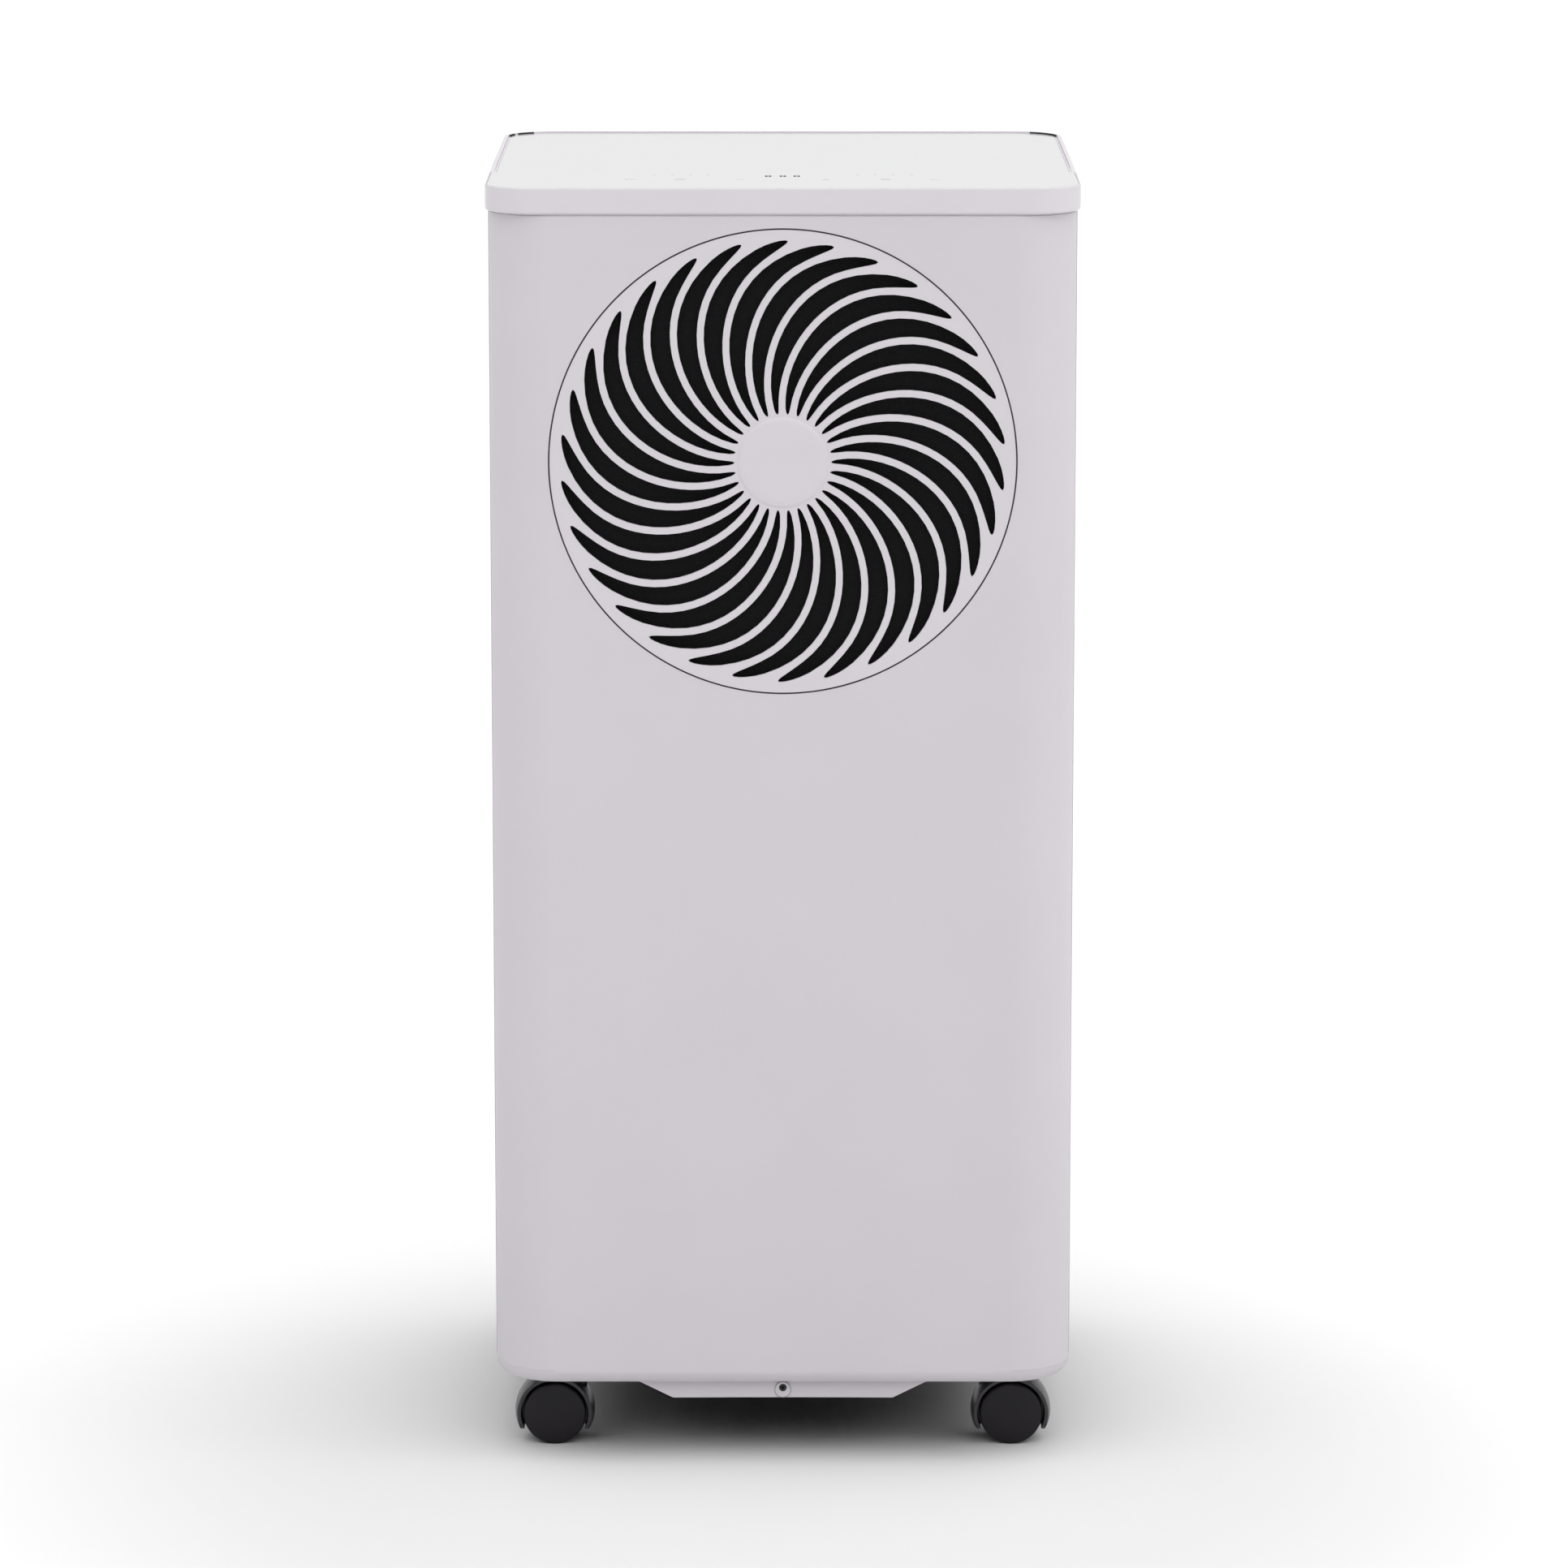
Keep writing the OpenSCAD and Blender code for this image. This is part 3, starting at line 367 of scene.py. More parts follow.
def grab(piece: Object) -> None:
    """Makes a piece the only selected and the active one."""
    bpy.ops.object.select_all(action="DESELECT")
    piece.hide_set(False)
    piece.select_set(True)
    bpy.context.view_layer.objects.active = piece


@contextmanager
def editing(piece: Object) -> Iterator[None]:
    """Opens a piece in edit mode with nothing selected, and closes it afterwards.

    Args:
        piece: The piece to edit.

    Yields:
        Nothing, while the piece is open.
    """
    grab(piece)
    bpy.ops.object.mode_set(mode="EDIT")
    bpy.ops.mesh.select_mode(type=Part.FACES.value)
    bpy.ops.mesh.select_all(action="DESELECT")
    yield
    bpy.ops.object.mode_set(mode="OBJECT")


def choose(piece: Object, part: Part, test: Test) -> None:
    """Selects, in the piece that is open, just what passes a test.

    Args:
        piece: The piece that is open in edit mode.
        part: What is selected: its edges or its faces.
        test: Takes a place and a direction: an edge's middle and the way it runs, or a face's
            middle and its normal.
    """
    bpy.ops.mesh.select_mode(type=part.value)
    bpy.ops.mesh.select_all(action="DESELECT")
    mesh = bmesh.from_edit_mesh(piece.data)
    if part is Part.EDGES:
        ends = [(edge, edge.verts[0].co, edge.verts[1].co) for edge in mesh.edges]
        spots = [(edge, (a + b) / 2, (b - a).normalized()) for edge, a, b in ends]
    else:
        spots = [(face, face.calc_center_median(), face.normal) for face in mesh.faces]
    for element, place, way in spots:
        if test(place, way):
            element.select_set(True)
    mesh.select_flush_mode()
    bmesh.update_edit_mesh(piece.data)


def modify(piece: Object, kind: str, **settings: object) -> None:
    """Adds a modifier with its settings and applies it.

    Args:
        piece: The piece to change.
        kind: The modifier's type, such as BEVEL.
        **settings: The modifier's properties.
    """
    grab(piece)
    modifier = piece.modifiers.new(kind.lower(), kind)
    for key, value in settings.items():
        setattr(modifier, key, value)
    bpy.ops.object.modifier_apply(modifier=modifier.name)


def smooth(piece: Object, angle: float = 38.0) -> None:
    """Shades curved stretches smooth, keeps sharp edges sharp and flat faces flat.

    Args:
        piece: The piece to shade.
        angle: Edges that turn by more than this many degrees stay sharp.
    """
    grab(piece)
    bpy.ops.object.shade_smooth_by_angle(angle=math.radians(angle))
    modify(piece, "WEIGHTED_NORMAL", keep_sharp=True, weight=60)


def from_drawing(node: str, merge: bool = False) -> Object:
    """Takes a copy of a CAD part as a workpiece, with its loose triangles welded together.

    Args:
        node: The CAD part's name.
        merge: Whether triangles in one plane become one face, which suits plain outlines only.

    Returns:
        The welded copy.
    """
    piece = bpy.data.objects.new(f"{node}_body", frame["nodes"][node].data.copy())
    bpy.context.scene.collection.objects.link(piece)
    piece.data.materials.clear()
    with editing(piece):
        bpy.ops.mesh.select_all(action="SELECT")
        bpy.ops.mesh.remove_doubles(threshold=WELD)
        if merge:
            bpy.ops.mesh.dissolve_limited(angle_limit=math.radians(0.4))
    return piece


def ease_edges(
    piece: Object, width: float, segments: int = 2, angle: float = 42.0
) -> None:
    """Rounds every sharp edge of a piece, as a mould's or a tool's wear does.

    Args:
        piece: The piece to round.
        width: Width of the rounding, in metres.
        segments: Number of facets across it.
        angle: Edges that turn by more than this many degrees are rounded.
    """
    modify(
        piece,
        "BEVEL",
        width=width,
        segments=segments,
        limit_method="ANGLE",
        angle_limit=math.radians(angle),
        use_clamp_overlap=False,
        miter_outer="MITER_ARC",
    )


def dress(
    piece: Object, finish: Finish, node: str, *more_nodes: str, stands: bool = True
) -> Object:
    """Gives a piece its finish, and makes it ride where its CAD part does.

    Args:
        piece: The finished piece.
        finish: Its finish.
        node: The CAD part that says which body it rides on.
        *more_nodes: Further CAD parts that it stands for.
        stands: Whether it stands for the CAD part, or is a detail on it.

    Returns:
        The piece.
    """
    piece.data.materials.clear()
    piece.data.materials.append(finish.material())
    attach(piece, BODY_OF[node])
    if stands:
        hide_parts(node, *more_nodes)
    log.info("%s: %s, %d faces", piece.name, finish.name, len(piece.data.polygons))
    return piece


def refine(
    node: str, finish: Finish, width: float, segments: int = 2, merge: bool = False
) -> Object:
    """Makes the finished piece of a CAD part whose shape needs only its edges eased.

    Args:
        node: The CAD part's name.
        finish: Its finish.
        width: Width of the rounding on its edges, in metres.
        segments: Number of facets across the rounding.
        merge: Whether triangles in one plane become one face first.

    Returns:
        The finished piece.
    """
    piece = from_drawing(node, merge)
    ease_edges(piece, width, segments)
    smooth(piece)
    return dress(piece, finish, node)


def primitive(name: str, make: Callable[..., set[str]], **settings: object) -> Object:
    """Makes a piece from one of the basic shapes.

    Args:
        name: The piece's name.
        make: The operator that adds the shape.
        **settings: The operator's settings.

    Returns:
        The piece.
    """
    bpy.ops.object.select_all(action="DESELECT")
    make(**settings)
    piece = bpy.context.active_object
    piece.name = name
    return piece


def cut(place: Triple, way: Triple) -> None:
    """Cuts the piece that is open along the plane through a place, across a way."""
    bpy.ops.mesh.select_all(action="SELECT")
    bpy.ops.mesh.bisect(plane_co=place, plane_no=way)


def plate(name: str, outline: Line, z: float, thickness: float) -> Object:
    """Makes a flat plate of any outline, lying level.

    Args:
        name: The piece's name.
        outline: Its corners, in order, as x and y in metres.
        z: Height of its lower face.
        thickness: Its thickness.

    Returns:
        The plate.
    """
    disc = bpy.ops.mesh.primitive_circle_add
    piece = primitive(name, disc, vertices=len(outline), radius=1.0, fill_type="NGON")
    for vertex, (x, y) in zip(piece.data.vertices, outline):
        vertex.co = (x, y, z)
    with editing(piece):
        bpy.ops.mesh.select_all(action="SELECT")
        bpy.ops.mesh.extrude_region_move(TRANSFORM_OT_translate={"value": (0, 0, thickness)})
        bpy.ops.mesh.select_all(action="SELECT")
        bpy.ops.mesh.normals_make_consistent(inside=False)
    return piece


def bead(
    name: str, centre: Vector, radius: float, thickness: float, facets: int, depth: float = 1.0
) -> Object:
    """Rolls a ring of round bead that faces the front.

    Args:
        name: The piece's name.
        centre: The ring's middle.
        radius: Radius of the bead's centre line.
        thickness: Thickness of the bead.
        facets: Number of facets round the ring.
        depth: The bead's depth, front to back, as a share of its thickness.

    Returns:
        The ring.
    """
    piece = primitive(
        name,
        bpy.ops.mesh.primitive_torus_add,
        major_radius=radius,
        minor_radius=thickness / 2,
        major_segments=facets,
        minor_segments=BEAD_FACETS,
        location=centre,
        rotation=(math.pi / 2, 0, 0),
    )
    piece.scale = (1, 1, depth)
    bpy.ops.object.transform_apply(location=True, rotation=True, scale=True)
    smooth(piece, angle=60)
    return piece


def join(name: str, pieces: list[Object]) -> Object:
    """Joins pieces into one and names it."""
    grab(pieces[0])
    for piece in pieces[1:]:
        piece.select_set(True)
    if len(pieces) > 1:
        bpy.ops.object.join()
    pieces[0].name = name
    return pieces[0]


def detail(name: str, pieces: list[Object], finish: Finish, node: str) -> None:
    """Joins pieces into a detail with its own finish, which rides on a CAD part's body."""
    dress(join(name, pieces), finish, node, stands=False)


# ---------- sub-assemblies ----------


@dataclass
class Covers:
    """The moulded covers: front, rear with its side walls, base and grip cups.

    Attributes:
        edge: Rounding of the covers' edges.
        cup_edge: Rounding of the grip cups' lips.
        pads: Inner side, outer side, front and back of each pair of black felt pads, painted
        shade under the base pan, and its height over the sump.
    """

    edge: float = mm(0.25)
    cup_edge: float = mm(0.5)
    pads: tuple[tuple[float, float, float, float, float], ...] = (
        (0.0, mm(58), mm(-120), mm(-62), 0.0),
        (0.0, mm(82), mm(-57), mm(140), mm(9.7)),
        (mm(82), mm(106), mm(-140), mm(140), mm(9.7)),
        (mm(106), mm(140), mm(-94), mm(94), mm(9.7)),
    )

    def build(self) -> None:
        """Builds every cover."""
        refine("front_cover", COVER_ABS, self.edge)
        refine("rear_cover", COVER_ABS, self.edge, merge=True)
        refine("base_pan", COVER_ABS, self.edge)
        refine("side_grips", COVER_ABS, self.cup_edge, merge=True)
        refine("case_screws", ZINC, mm(0.15))
        refine("cable_gland", RUBBER, mm(0.4))
        refine("drain_plug", RUBBER, mm(0.3))
        self.drain_shade_ring()
        self.painted_shade_pads()

    def painted_shade_pads(self) -> None:
        """Glues black felt under the base pan, clear of the casters and the drain boss: painted
        shade where the cabinet's underside lies in shadow.
        """
        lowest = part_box("base_pan")[0].z
        thickness, lap = mm(0.8), mm(0.5)
        pads = []
        for inner, outer, front, back, rise in self.pads:
            for side in SIDES:
                corners = [(inner, front), (outer, front), (outer, back), (inner, back)]
                outline = [(side * x, y) for x, y in corners]
                pads.append(plate("pad", outline, lowest + rise - lap, thickness))
        # painted shade: black felt pads that darken the cabinet's underside
        detail("painted_shade_pads", pads, PAINTED_SHADE_FELT, "base_pan")

    def drain_shade_ring(self) -> None:
        """Sets a thin grey ring on the boss round the drain plug: painted shade, a line darker
        than the boss where a groove would shade it.
        """
        low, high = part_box("drain_plug")
        radius, thickness, stand_off, drop = mm(4.4), mm(0.4), mm(0.15), mm(1.1)
        centre = Vector(((low.x + high.x) / 2, low.y - stand_off, (low.z + high.z) / 2 - drop))
        piece = bead("drain_shade_ring", centre, radius, thickness, facets=64)
        # painted shade: a grey ring standing in for the shaded groove round the drain boss
        dress(piece, BAIL_ABS, "base_pan", stands=False)


@dataclass
class Lid:
    """The lid: its frame with a rim that fades out towards the front, the glass and its marks.

    Attributes:
        radius: Plan radius of the lid's corners.
        wall_slack: How near the frame's outer wall a place counts as on it.
        skirt: How far the frame's lower outer edge lies below the glass's face.
        top_edge: Rounding of the frame's upper outer edge.
        foot_edge: Rounding of its lower outer edge.
        rim_start: Where the raised rim starts, front to back.
        fade: Length over which the raised rim sinks to the glass.
        fade_steps: Number of cuts that the fade is bent at.
        groove_inset: How far the gasket's outer side lies inside the frame's outer wall.
        gasket_width: Width of the gasket.
        gasket_drop: How far its top lies below the glass.
        gasket_gaps: Side, start and end, in degrees from the side wall, of its gaps.
        gasket_island: The short stretch of it inside one of them.
        pad_arcs: The stretches of the gaps that black rubber pads fill, painted shade of the
            groove at the rear corners.
        pad_rise: How far they stand above the gasket's top.
        seal_radii: Radii of the cabinet's front and rear corners.
        seal_inset: How far the seal under the lid lies inside the cabinet's face.
        ink: Thickness of the marks.
        line: Width of a thin line of theirs.
        key_y: Distance of the touch keys behind the front edge.
        key_radius: Radius of the round key marks.
        display_y: Distance of the display behind the front edge.
        lamp_y: Distance of the lamps behind the front edge.
    """

    radius: float = mm(28)
    wall_slack: float = mm(0.12)
    skirt: float = mm(14)
    top_edge: float = mm(0.8)
    foot_edge: float = mm(1.5)
    rim_start: float = mm(-76)
    fade: float = mm(46)
    fade_steps: int = 7
    groove_inset: float = mm(2.45)
    gasket_width: float = mm(1.1)
    gasket_drop: float = mm(0.25)
    gasket_gaps: tuple[Arc, ...] = ((-1, 7, 62), (1, 7, 66))
    gasket_island: Arc = (-1, 27, 36)
    pad_arcs: tuple[Arc, ...] = ((-1, 8, 27), (-1, 36, 62), (1, 7, 65))
    pad_rise: float = mm(1.05)
    seal_radii: tuple[float, float] = (mm(34), mm(32))
    seal_inset: float = mm(0.7)
    ink: float = mm(0.03)
    line: float = mm(0.5)
    key_y: float = mm(50)
    key_radius: float = mm(3)
    display_y: float = mm(68)
    lamp_y: float = mm(77)

    def build(self) -> None:
        """Builds the frame, the glass, its marks and the board below."""
        self.frame_ring()
        refine("top_panel", TOP_GLASS, mm(0.35), 3)
        self.marks()
        self.gasket()
        self.painted_shade_corner_pads()
        self.seal()
        refine("display_board", SOLDER_MASK, mm(0.2))

    def frame_ring(self) -> None:
        """Shapes the frame: rounds its outer edges and lets the rim sink towards the front."""
        low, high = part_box("lid_frame")
        glass_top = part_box("top_panel")[1].z
        piece = from_drawing("lid_frame", merge=True)
        with editing(piece):
            for step in range(self.fade_steps):
                reach = self.fade * (step + 0.5) / self.fade_steps
                cut((0, self.rim_start + reach, 0), (0, 1, 0))
        rise = high.z - glass_top
        for vertex in piece.data.vertices:
            share = (vertex.co.y - self.rim_start) / self.fade
            if vertex.co.z > glass_top + NEAR and share < 1:
                share = max(0.0, share)
                vertex.co.z = glass_top + rise * share * share * (3 - 2 * share)
        foot = glass_top - self.skirt
        with editing(piece):
            choose(
                piece,
                Part.EDGES,
                lambda p, way: abs(p.z - foot) < NEAR
                and abs(way.z) < LEVEL
                and self.outside(p, low),
            )
            bpy.ops.mesh.bevel(
                offset=self.foot_edge, segments=4, affect="EDGES", clamp_overlap=False
            )
            choose(
                piece,
                Part.EDGES,
                lambda p, way: p.z > glass_top - NEAR
                and abs(way.z) < FADING
                and self.outside(p, low),
            )
            bpy.ops.mesh.bevel(
                offset=self.top_edge, segments=3, affect="EDGES", clamp_overlap=False
            )
        ease_edges(piece, mm(0.3), angle=60)
        smooth(piece)
        dress(piece, TRIM_ABS, "lid_frame")

    def outside(self, place: Vector, low: Vector) -> bool:
        """Says whether a place is on the frame's outer wall, given the frame's lowest corner."""
        dx = max(0.0, abs(place.x) - (abs(low.x) - self.radius))
        dy = max(0.0, abs(place.y) - (abs(low.y) - self.radius))
        return math.hypot(dx, dy) > self.radius - self.wall_slack

    def corner_middle(self) -> tuple[float, float]:
        """Gives the middle of the arcs of the right rear corner, as x and y."""
        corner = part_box("lid_frame")[1]
        return corner.x - self.radius, corner.y - self.radius

    def corner_arc(self, side: int, radius: float, start: float, end: float) -> Line:
        """Gives the points of an arc round a rear corner.

        Args:
            side: -1 for the left corner and 1 for the right one.
            radius: The arc's radius.
            start: Where it starts, in degrees from the side wall.
            end: Where it ends, in degrees from the side wall.

        Returns:
            The points from the start to the end, as x and y.
        """
        middle_x, middle_y = self.corner_middle()
        turns = [math.radians(start + (end - start) * i / ARC_STEPS) for i in range(ARC_STEPS + 1)]
        return [
            (side * (middle_x + radius * math.cos(t)), middle_y + radius * math.sin(t))
            for t in turns
        ]

    def gasket(self) -> None:
        """Lays the gasket in the groove round the glass, which leaves the rear corners open."""
        middle_x, middle_y = self.corner_middle()
        glass_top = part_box("top_panel")[1].z
        top = glass_top - self.gasket_drop
        rim = self.radius - self.groove_inset
        radii = (rim, rim - self.gasket_width)
        bands = []
        for side, start, end in self.gasket_gaps:
            bands.append([
                [(side * (middle_x + r), self.rim_start)] + self.corner_arc(side, r, 0, start)
                for r in radii
            ])
            bands.append([
                self.corner_arc(side, r, end, 90) + [(0, middle_y + r)] for r in radii
            ])
        side, start, end = self.gasket_island
        bands.append([self.corner_arc(side, r, start, end) for r in radii])
        depth = mm(1.5)
        strips = [
            plate("gasket", outer + inner[::-1], top - depth, depth) for outer, inner in bands
        ]
        ring = join("glass_gasket", strips)
        for vertex in ring.data.vertices:
            if vertex.co.y < self.rim_start + NEAR and vertex.co.z > top - NEAR:
                vertex.co.z = glass_top - NEAR
        dress(ring, TRIM_ABS, "lid_frame", stands=False)

    def painted_shade_corner_pads(self) -> None:
        """Sets black rubber pads into the gaps of the gasket: painted shade of the deep groove at
        the rear corners.
        """
        depth, outset, inset = mm(1), mm(0.1), mm(0.5)
        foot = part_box("top_panel")[1].z - self.gasket_drop - depth
        rim = self.radius - self.groove_inset
        pads = []
        for side, start, end in self.pad_arcs:
            outer = self.corner_arc(side, rim + outset, start, end)
            inner = self.corner_arc(side, rim - inset, start, end)
            pads.append(plate("pad", outer + inner[::-1], foot, depth + self.pad_rise))
        # painted shade: black pads where the groove at the rear corners lies in shade
        detail("painted_shade_corner_pads", pads, RUBBER, "lid_frame")

    def seal(self) -> None:
        """Lays the seal between the lid and the cabinet, a little inside the cabinet's face."""
        body_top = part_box("front_cover")[1].z
        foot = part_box("top_panel")[1].z - self.skirt
        width, lap = mm(1.2), mm(0.4)
        strips = []
        for side in SIDES:
            outer = self.seal_line(side, self.seal_inset)
            inner = self.seal_line(side, self.seal_inset + width)
            height = foot - body_top + lap
            strips.append(plate("seal", outer + inner[::-1], body_top - lap, height))
        detail("lid_seal", strips, TRIM_ABS, "lid_frame")

    def seal_line(self, side: int, inset: float) -> Line:
        """Gives the line along half of the cabinet's outline, from the front to the back.

        Args:
            side: -1 for the left half and 1 for the right one.
            inset: How far the line lies inside the cabinet's face.

        Returns:
            The line's points as x and y.
        """
        low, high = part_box("front_cover")
        wall = high.x - inset
        front, back = low.y + inset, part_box("rear_cover")[1].y - inset
        line = [(0.0, front)]
        for full_radius, face, way in zip(self.seal_radii, (front, back), SIDES):
            radius = full_radius - inset
            shares = [i / SEAL_STEPS for i in range(SEAL_STEPS + 1)]
            line += [
                (
                    side * (wall - radius + radius * math.cos(t * math.pi / 2)),
                    face - way * radius + way * radius * math.sin(t * math.pi / 2),
                )
                for t in (shares if way > 0 else [1 - share for share in shares])
            ]
        return line + [(0.0, back)]

    def marks(self) -> None:
        """Prints the generic key, display and lamp marks on the glass."""
        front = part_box("lid_frame")[0].y
        keys = self.key_marks(front + self.key_y)
        digits = self.digit_marks(front + self.display_y)
        lamps = [
            self.ring_mark(side * mm(x), front + self.lamp_y, mm(0.9), mm(0.6))
            for x in (41.0, 50.5, 60.5, 70.5)
            for side in SIDES
        ]
        detail("key_marks", keys + lamps, PALE_INK, "top_panel")
        detail("display_marks", digits, DARK_INK, "top_panel")

    def key_marks(self, y: float) -> list[Object]:
        """Prints the six key marks: power, timer, speed, water, mode and night.

        Args:
            y: Their place, front to back.

        Returns:
            The marks.
        """
        radius, line = self.key_radius, self.line
        spread = (-1.8, 0.0, 1.8)
        marks = [
            self.ring_mark(mm(-83), y, radius, line, gap=70),
            self.bar_mark(mm(-83), y + mm(2.2), line, mm(3.4)),
            self.ring_mark(mm(-56), y, radius, line),
            self.bar_mark(mm(-56), y + mm(0.9), line, mm(2.2)),
        ]
        marks += [
            self.bar_mark(mm(-23.5) + mm(shift), y, line, mm(5.0) - mm(abs(shift)))
            for shift in spread
        ]
        marks.append(self.drop_mark(mm(23.5), y, mm(2.8)))
        marks += [self.bar_mark(mm(56), y + mm(shift), mm(5.2), line) for shift in spread]
        marks.append(self.ring_mark(mm(83), y, radius, line, gap=150))
        return marks

    def digit_marks(self, y: float) -> list[Object]:
        """Prints the three unlit digits of the display, each with all its strokes.

        Args:
            y: Their place, front to back.

        Returns:
            The strokes.
        """
        marks = []
        for x in (-8.0, 0.0, 7.6):
            strokes = [(x, shift, 3.2, 0.8) for shift in (-3.0, 0.0, 3.0)]
            strokes += [(x + side * 1.25, 0.0, 0.8, 6.6) for side in SIDES]
            marks += [
                self.bar_mark(mm(stroke_x), y + mm(shift), mm(width), mm(length))
                for stroke_x, shift, width, length in strokes
            ]
        return marks

    def mark(self, outline: Line) -> Object:
        """Prints a mark of any outline on the glass, and returns it."""
        return plate("mark", outline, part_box("top_panel")[1].z, self.ink)

    def ring_mark(
        self, x: float, y: float, radius: float, width: float, gap: float = 0.0
    ) -> Object:
        """Prints a ring mark.

        Args:
            x, y: Its middle.
            radius: Its outer radius.
            width: Width of its line.
            gap: How far it is open at the back, in degrees.

        Returns:
            The mark.
        """
        start = math.radians(90 + gap / 2)
        span = math.radians(360 - gap)
        turns = [start + span * i / MARK_STEPS for i in range(MARK_STEPS + 1)]
        arc = [(math.cos(turn), math.sin(turn)) for turn in turns]
        outer = [(x + radius * c, y + radius * s) for c, s in arc]
        inner = [(x + (radius - width) * c, y + (radius - width) * s) for c, s in reversed(arc)]
        return self.mark(outer + inner)

    def bar_mark(self, x: float, y: float, width: float, length: float) -> Object:
        """Prints a straight bar mark.

        Args:
            x, y: Its middle.
            width: Its size from side to side.
            length: Its size from front to back.

        Returns:
            The mark.
        """
        corners = [(-1, -1), (1, -1), (1, 1), (-1, 1)]
        return self.mark([(x + a * width / 2, y + b * length / 2) for a, b in corners])

    def drop_mark(self, x: float, y: float, size: float) -> Object:
        """Prints a water drop mark.

        Args:
            x, y: Its middle.
            size: Half its length.

        Returns:
            The mark.
        """
        turns = [math.tau * i / DROP_STEPS for i in range(DROP_STEPS)]
        return self.mark([
            (
                x + size * math.sin(t) * math.sin(t / 2) ** DROP_TAPER,
                y + size * (math.cos(t) - DROP_SHIFT),
            )
            for t in turns
        ])


@dataclass
class FrontGrille:
    """The swirl grille in the front, its cap, the net behind it and the black seal round it, which
    paints the gap's shade.

    Attributes:
        slot_edge: Rounding of the slots' edges.
        gap: Width of the gap round the disc.
        seal_width: Width of the black seal that fills the gap, as painted shade of the gap.
        cap_rings: Number of rings in the cap's dome.
        cap_fall: How far the dome falls from its middle to its edge.
        crown: Share of the fall that is spread over the dome. The rest is its soft edge.
    """

    slot_edge: float = mm(0.2)
    gap: float = mm(0.5)
    seal_width: float = mm(0.96)
    cap_rings: int = 12
    cap_fall: float = mm(1.1)
    crown: float = 0.1

    def build(self) -> None:
        """Builds the disc, the cap, the net and the seal."""
        refine("front_grille", GRILLE_ABS, self.slot_edge)
        self.cap()
        refine("grille_net", BLACK_NET, mm(0.1), 1)
        self.seal()

    def cap(self) -> None:
        """Turns the hub's cap: a low dome with a soft edge, over the middle of the slots."""
        low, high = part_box("grille_cap")
        middle = (low + high) / 2
        radius = (high.x - low.x) / 2
        first_ring, ring_growth, edge_power = 0.015, 0.011, 20
        piece = primitive(
            "grille_cap_dome",
            bpy.ops.mesh.primitive_cylinder_add,
            vertices=96,
            radius=radius,
            depth=high.y - low.y,
            location=middle,
            rotation=(math.pi / 2, 0, 0),
        )
        bpy.ops.object.transform_apply(location=True, rotation=True, scale=True)
        with editing(piece):
            choose(piece, Part.FACES, lambda p, way: way.y < -0.9)
            for ring in range(self.cap_rings):
                bpy.ops.mesh.inset(thickness=radius * (first_ring + ring_growth * ring))
        for vertex in piece.data.vertices:
            share = math.hypot(vertex.co.x - middle.x, vertex.co.z - middle.z) / radius
            if vertex.co.y < low.y + NEAR:
                profile = self.crown * share**2 + (1 - self.crown) * share**edge_power
                vertex.co.y += self.cap_fall * profile
        smooth(piece, angle=50)
        dress(piece, GRILLE_ABS, "grille_cap")

    def seal(self) -> None:
        """Rolls a flattened black seal into the gap round the disc: painted shade, a dark line
        where the gap lies in shade.
        """
        low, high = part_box("front_grille")
        radius = (high.z - low.z) / 2 + self.gap / 2
        sink = mm(0.1)
        centre = Vector((0, low.y + sink, (low.z + high.z) / 2))
        piece = bead("grille_shade_seal", centre, radius, self.seal_width, facets=240, depth=0.6)
        # painted shade: the black seal darkens the gap round the disc
        dress(piece, RUBBER, "front_grille", stands=False)


@dataclass
class Intake:
    """The louvre that pulls off the back, and the filter behind it."""

    def build(self) -> None:
        """Builds the louvre, the filter's frame and its cloth."""
        refine("intake_grille", COVER_ABS, mm(0.35))
        refine("filter_frame", BLACK_NYLON, mm(0.3))
        refine("filter_mesh", FILTER_CLOTH, mm(0.1), 1)


@dataclass
class Fan:
    """The fan, its motor and what holds them."""

    def build(self) -> None:
        """Builds every part of the fan."""
        refine("fan_blades", FAN_ABS, mm(0.5))
        refine("fan_shroud", FAN_ABS, mm(0.6))
        refine("motor_bracket", ZINC, mm(0.3))
        refine("fan_motor", CAN_STEEL, mm(0.6), 3)
        refine("motor_shaft", GROUND_STEEL, mm(0.3))
        refine("fan_nut", ZINC, mm(0.3))


